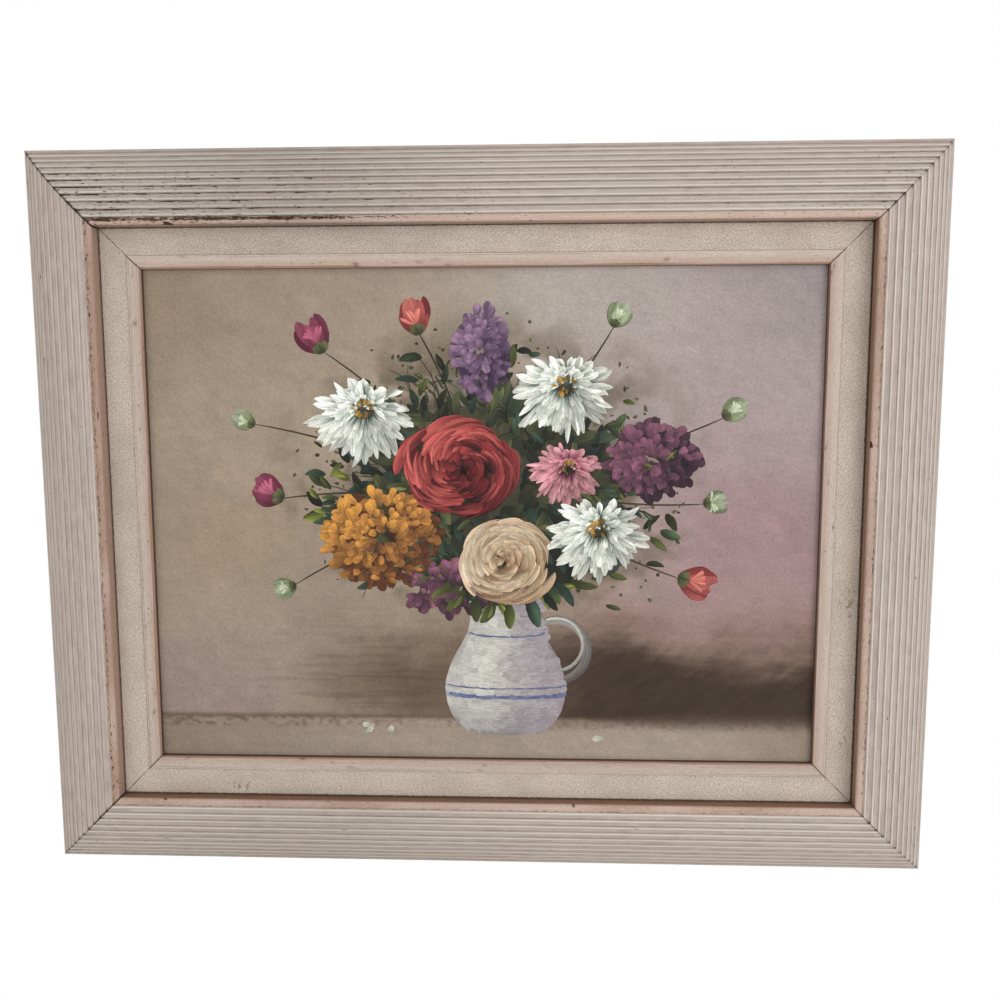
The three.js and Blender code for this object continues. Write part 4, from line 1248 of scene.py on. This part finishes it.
# Stalks that reach the outer blooms, twigs, flecks, and tufts of thin blades round the leaves
def paintStems(b, random, tufts, finish):
    heart, start = b["heart"], 46
    away = np.array([row[:2] for row in (*b["buds"], *b["tulips"], *b["poppies"])]) - heart
    reach, heading = np.hypot(*away.T), np.arctan2(away[:, 1], away[:, 0])
    x, z = around(heart, heading, start, start)
    sprays = stems(x, z, heading - 0.12, 0.24, reach - start + 5, 1.2, b["stem"], 0.14)
    twig = random.uniform(0, circle, 46)
    twig = twig[np.sin(twig) > -0.62]
    flat, bell = draws(random, len(twig))
    r = flat(62, 84)
    x, z = around(heart, twig, r, 0.8 * r)
    sprays += stems(x, z, twig + bell(0.35), bell(0.5), flat(14, 34), 0.6, b["stem"], 0.1)
    spot = random.uniform(0, circle, 360)
    spot = spot[np.sin(spot) > -0.7]
    flat, bell = draws(random, len(spot))
    r, tone, wide = bell(15, 94), flat(0.75, 1.5), flat(0.9, 2.4)
    x, z = around(heart, spot, r, 0.82 * r)
    flecks = strokeSet(len(spot), x=x, z=z, heading=flat(0, 6.3), long=wide * flat(1, 2.4), wide=wide,
                       layer=0.08, thick=0.06, base=shadeBy(b["fleck"], tone - 1),
                       tip=shadeBy(b["leafPale"], tone - 1.2))
    tuft = np.repeat(tufts.uniform(-0.6, 3.75, 26), 5)
    flat, bell = draws(tufts, len(tuft))
    r, heading = flat(62, 82), tuft + bell(0.5)
    tone = blend(b["leafDark"], b["mist"], flat(0.1, 1))
    x, z = around(heart, tuft, r, 0.82 * r)
    blades = strokeSet(len(tuft), x=x + bell(5), z=z + bell(5), heading=heading, bend=bell(0.5),
                       long=flat(7, 17),
                       wide=flat(0.8, 1.7), peak=0.3, blunt=0.3, layer=0.08, thick=0.06, base=tone,
                       tip=tone * 1.1)
    layStrokes("paint_stems", sprays + [flecks, blades], finish, 8, 5)


# Clusters of small dabs, an aster and closed blooms on their stems
def paintBack(b, random, tufts, finish):
    spot = b["clusters"]
    far = [underpaint(random, spot[key], radius, b[key][0], 0.2)
           for key, radius in (("purple", 26), ("violet", 20), ("orange", 32))]
    for source, key, radii, count, size, layer in (
            (random, "purple", (22, 19), 210, 4.6, 0.28), (random, "violet", (13, 23), 170, 4.2, 0.28),
            (tufts, "purple", (8, 7), 26, 4.8, 0.26), (tufts, "violet", (5, 8), 26, 4.4, 0.26)):
        far.append(dabs(source, spot[key], radii, count, size, layer, *b[key]))
    for x, z, radius in b["asters"]:
        far += daisy(tufts, (x, z), radius, *b["pink"], b["daisyHeart"], 0.22)
    for key, paint, grown in (("tulips", "magenta", 1.35), ("poppies", "coral", 1.3),
                              ("buds", "bud", 1.15)):
        for x, z, size, heading in b[key]:
            far += cup(random, (x, z), size * grown, heading, *b[paint])
    far.append(dabs(random, spot["orange"], (31, 25), 380, 4.8, 0.3, *b["orange"]))
    far.append(dabs(random, spot["low"], (24, 12), 150, 4.2, 0.3, *b["purple"]))
    layStrokes("paint_blooms_back", far, finish, 10, 7)


# The large blooms, the jug's handle with a light along it, and four fallen petals
def paintFront(b, random, finish):
    near = []
    for kind, x, z, radius, layer in b["front"]:
        if kind == "daisy":
            near += daisy(random, (x, z), radius, *b["white"], b["daisyHeart"], layer)
        else:
            near += rose(random, (x, z), radius, *b[kind], layer)
    x, z, heading, bend, long, wide = jug["handle"]
    handle = strokeSet(2, x=jug["x"] + np.array([x - 12, x - 11]), z=(z, z + 1.2), heading=heading,
                       bend=bend,
                       long=(long, long * 0.86), wide=(wide, wide * 0.4), peak=0.5, blunt=0.12,
                       layer=(0.12, 0.2), thick=0.14, lean=0.15, base=((142, 137, 132), (192, 190, 180)),
                       tip=((104, 98, 94), (150, 146, 140)))
    fallen = strokeSet(4, x=(-74, -66, -58, 74), z=(-131, -128, -133, -134), heading=(0.3, 2.6, 0.9, 2.9),
                       bend=0.6, long=(9, 8, 7, 8), wide=(4.4, 4.0, 3.8, 4.2), layer=0.1, thick=0.14,
                       base=(150, 148, 134), tip=(194, 190, 176))
    layStrokes("paint_blooms_front", near + [handle, fallen], finish, 15, 9)


bloomPaint = paintFinish("bloomPaint", bouquet["roughness"], (40, 1400), 0.42, drift=0.5)
jugPaint = paintFinish("jugPaint", jug["roughness"], (160, 260), 0.1, drift=0.2)
paintJug(jug, jugPaint)
glazeJug(jug, bloomPaint)
flowerRandom, tuftRandom = (np.random.default_rng(bouquet["seed"] + k) for k in (0, 1))
paintLeaves(bouquet, flowerRandom, bloomPaint)
paintStems(bouquet, flowerRandom, tuftRandom, bloomPaint)
paintBack(bouquet, flowerRandom, tuftRandom, bloomPaint)
paintFront(bouquet, flowerRandom, bloomPaint)
print("flowers painted")


# Plain finishes for the solids that keep their own shape: pine
# bars, steel points and nails, a brassed hanger
pine = dict(pale=light(200, 168, 126), dark=light(160, 118, 76), grime=light(120, 92, 66), roughness=0.7)
metals = dict(
    steel=dict(pale=light(170, 170, 172), dull=light(112, 108, 104), rust=light(110, 74, 50),
               roughness=0.38),
    brass=dict(pale=light(206, 180, 120), dull=light(150, 124, 74), rust=light(104, 84, 60),
               roughness=0.34),
)


def pineFinish(c, along):
    f = Finish(f"pine_{along}", Roughness=c["roughness"])
    scale = (9, 260, 260) if along == "x" else (260, 260, 9)
    rings = f.noise(f.place(*scale, source="Object"), 1.0, 3.0, 0.55)
    pores = f.noise(f.place(*(s * 5 for s in scale), source="Object"), 1.0, 2.0, 0.6)
    cloud = f.cloud(30, 3.0, 0.6)
    base = f.mix(rings.between(0.38, 0.66), c["pale"], c["dark"])
    base = f.mix(pores.between(0.55, 0.75) * 0.3, base, c["dark"])
    colour = f.mix(cloud.between(0.5, 0.8) * 0.35, base, c["grime"])
    return f.finishWith(colour, c["roughness"] + pores * 0.15, rings * 0.6 + pores * 0.4, 0.0002)


def metalFinish(name, c):
    f = Finish(name, Metallic=0.9, Roughness=c["roughness"])
    where = f.place(1, 1, 1, source="Object")
    cloud, fine = f.noise(where, 180, 3.0, 0.6), f.noise(where, 1500, 2.0, 0.6)
    base = f.mix(cloud.between(0.35, 0.7), c["pale"], c["dull"])
    spots = (cloud + fine * 0.35).between(0.78, 0.86)
    colour = f.mix(spots * 0.7, base, c["rust"])
    return f.finishWith(colour, c["roughness"] + spots * 0.35 + fine * 0.15, fine, 0.00005)


pineAlong = {s: pineFinish(pine, s) for s in ("x", "z")}
steelFinish, brassFinish = metalFinish("steel", metals["steel"]), metalFinish("brassed", metals["brass"])
for nodeName, node in nodes.items():
    if nodeName.startswith("stretcher_bar"):
        node.material_slots[0].material = pineAlong[sides[nodeName.rsplit("_", 1)[1]]["along"]]
    elif "point" in nodeName or "nail" in nodeName:
        node.material_slots[0].material = steelFinish
    elif nodeName == "sawtooth_hanger":
        node.material_slots[0].material = brassFinish
print("solids finished")


# A plain pale floor far below the hanging picture, a white surround and soft studio lights
studio = dict(
    world=1.0, floor=dict(x=(-1.5, 1.5), y=(-1.8, 0.9), z=-1.31, colour=light(214, 212, 208)),
    key=dict(place=(1.35, -1.5, 0.05), aim=(0.0, 0.0, -0.2), size=1.1, power=12.0),
    fill=dict(place=(-1.1, -1.8, 0.6), aim=(0.0, 0.0, -0.2), size=1.6, power=2.5),
)


def setStudio(s):
    world = bpy.data.worlds.new("studio")
    world.use_nodes = True
    world.node_tree.nodes["Background"].inputs["Color"].default_value = (1, 1, 1, 1)
    world.node_tree.nodes["Background"].inputs["Strength"].default_value = s["world"]
    bpy.context.scene.world = world
    for name in ("key", "fill"):
        data = bpy.data.lights.new(name, "AREA")
        data.size, data.energy = s[name]["size"], s[name]["power"]
        lamp = bpy.data.objects.new(name, data)
        lamp.location = s[name]["place"]
        lamp.rotation_euler = (Vector(s[name]["aim"]) - lamp.location).to_track_quat("-Z", "Y").to_euler()
        bpy.context.scene.collection.objects.link(lamp)
    plane = s["floor"]
    corners = [(plane["x"][i], plane["y"][j], plane["z"]) for i, j in ((0, 0), (1, 0), (1, 1), (0, 1))]
    mesh = bpy.data.meshes.new("floor")
    mesh.from_pydata(corners, [], [(0, 1, 2, 3)])
    f = Finish("floor", Roughness=0.8)
    cloud = f.cloud(3, 3.0, 0.5)
    mesh.materials.append(f.finishWith(f.tint(plane["colour"], cloud * 0.06 + 0.97)))
    floor = bpy.data.objects.new("floor", mesh)
    bpy.context.scene.collection.objects.link(floor)
    bpy.context.scene.view_settings.view_transform = "Standard"


setStudio(studio)
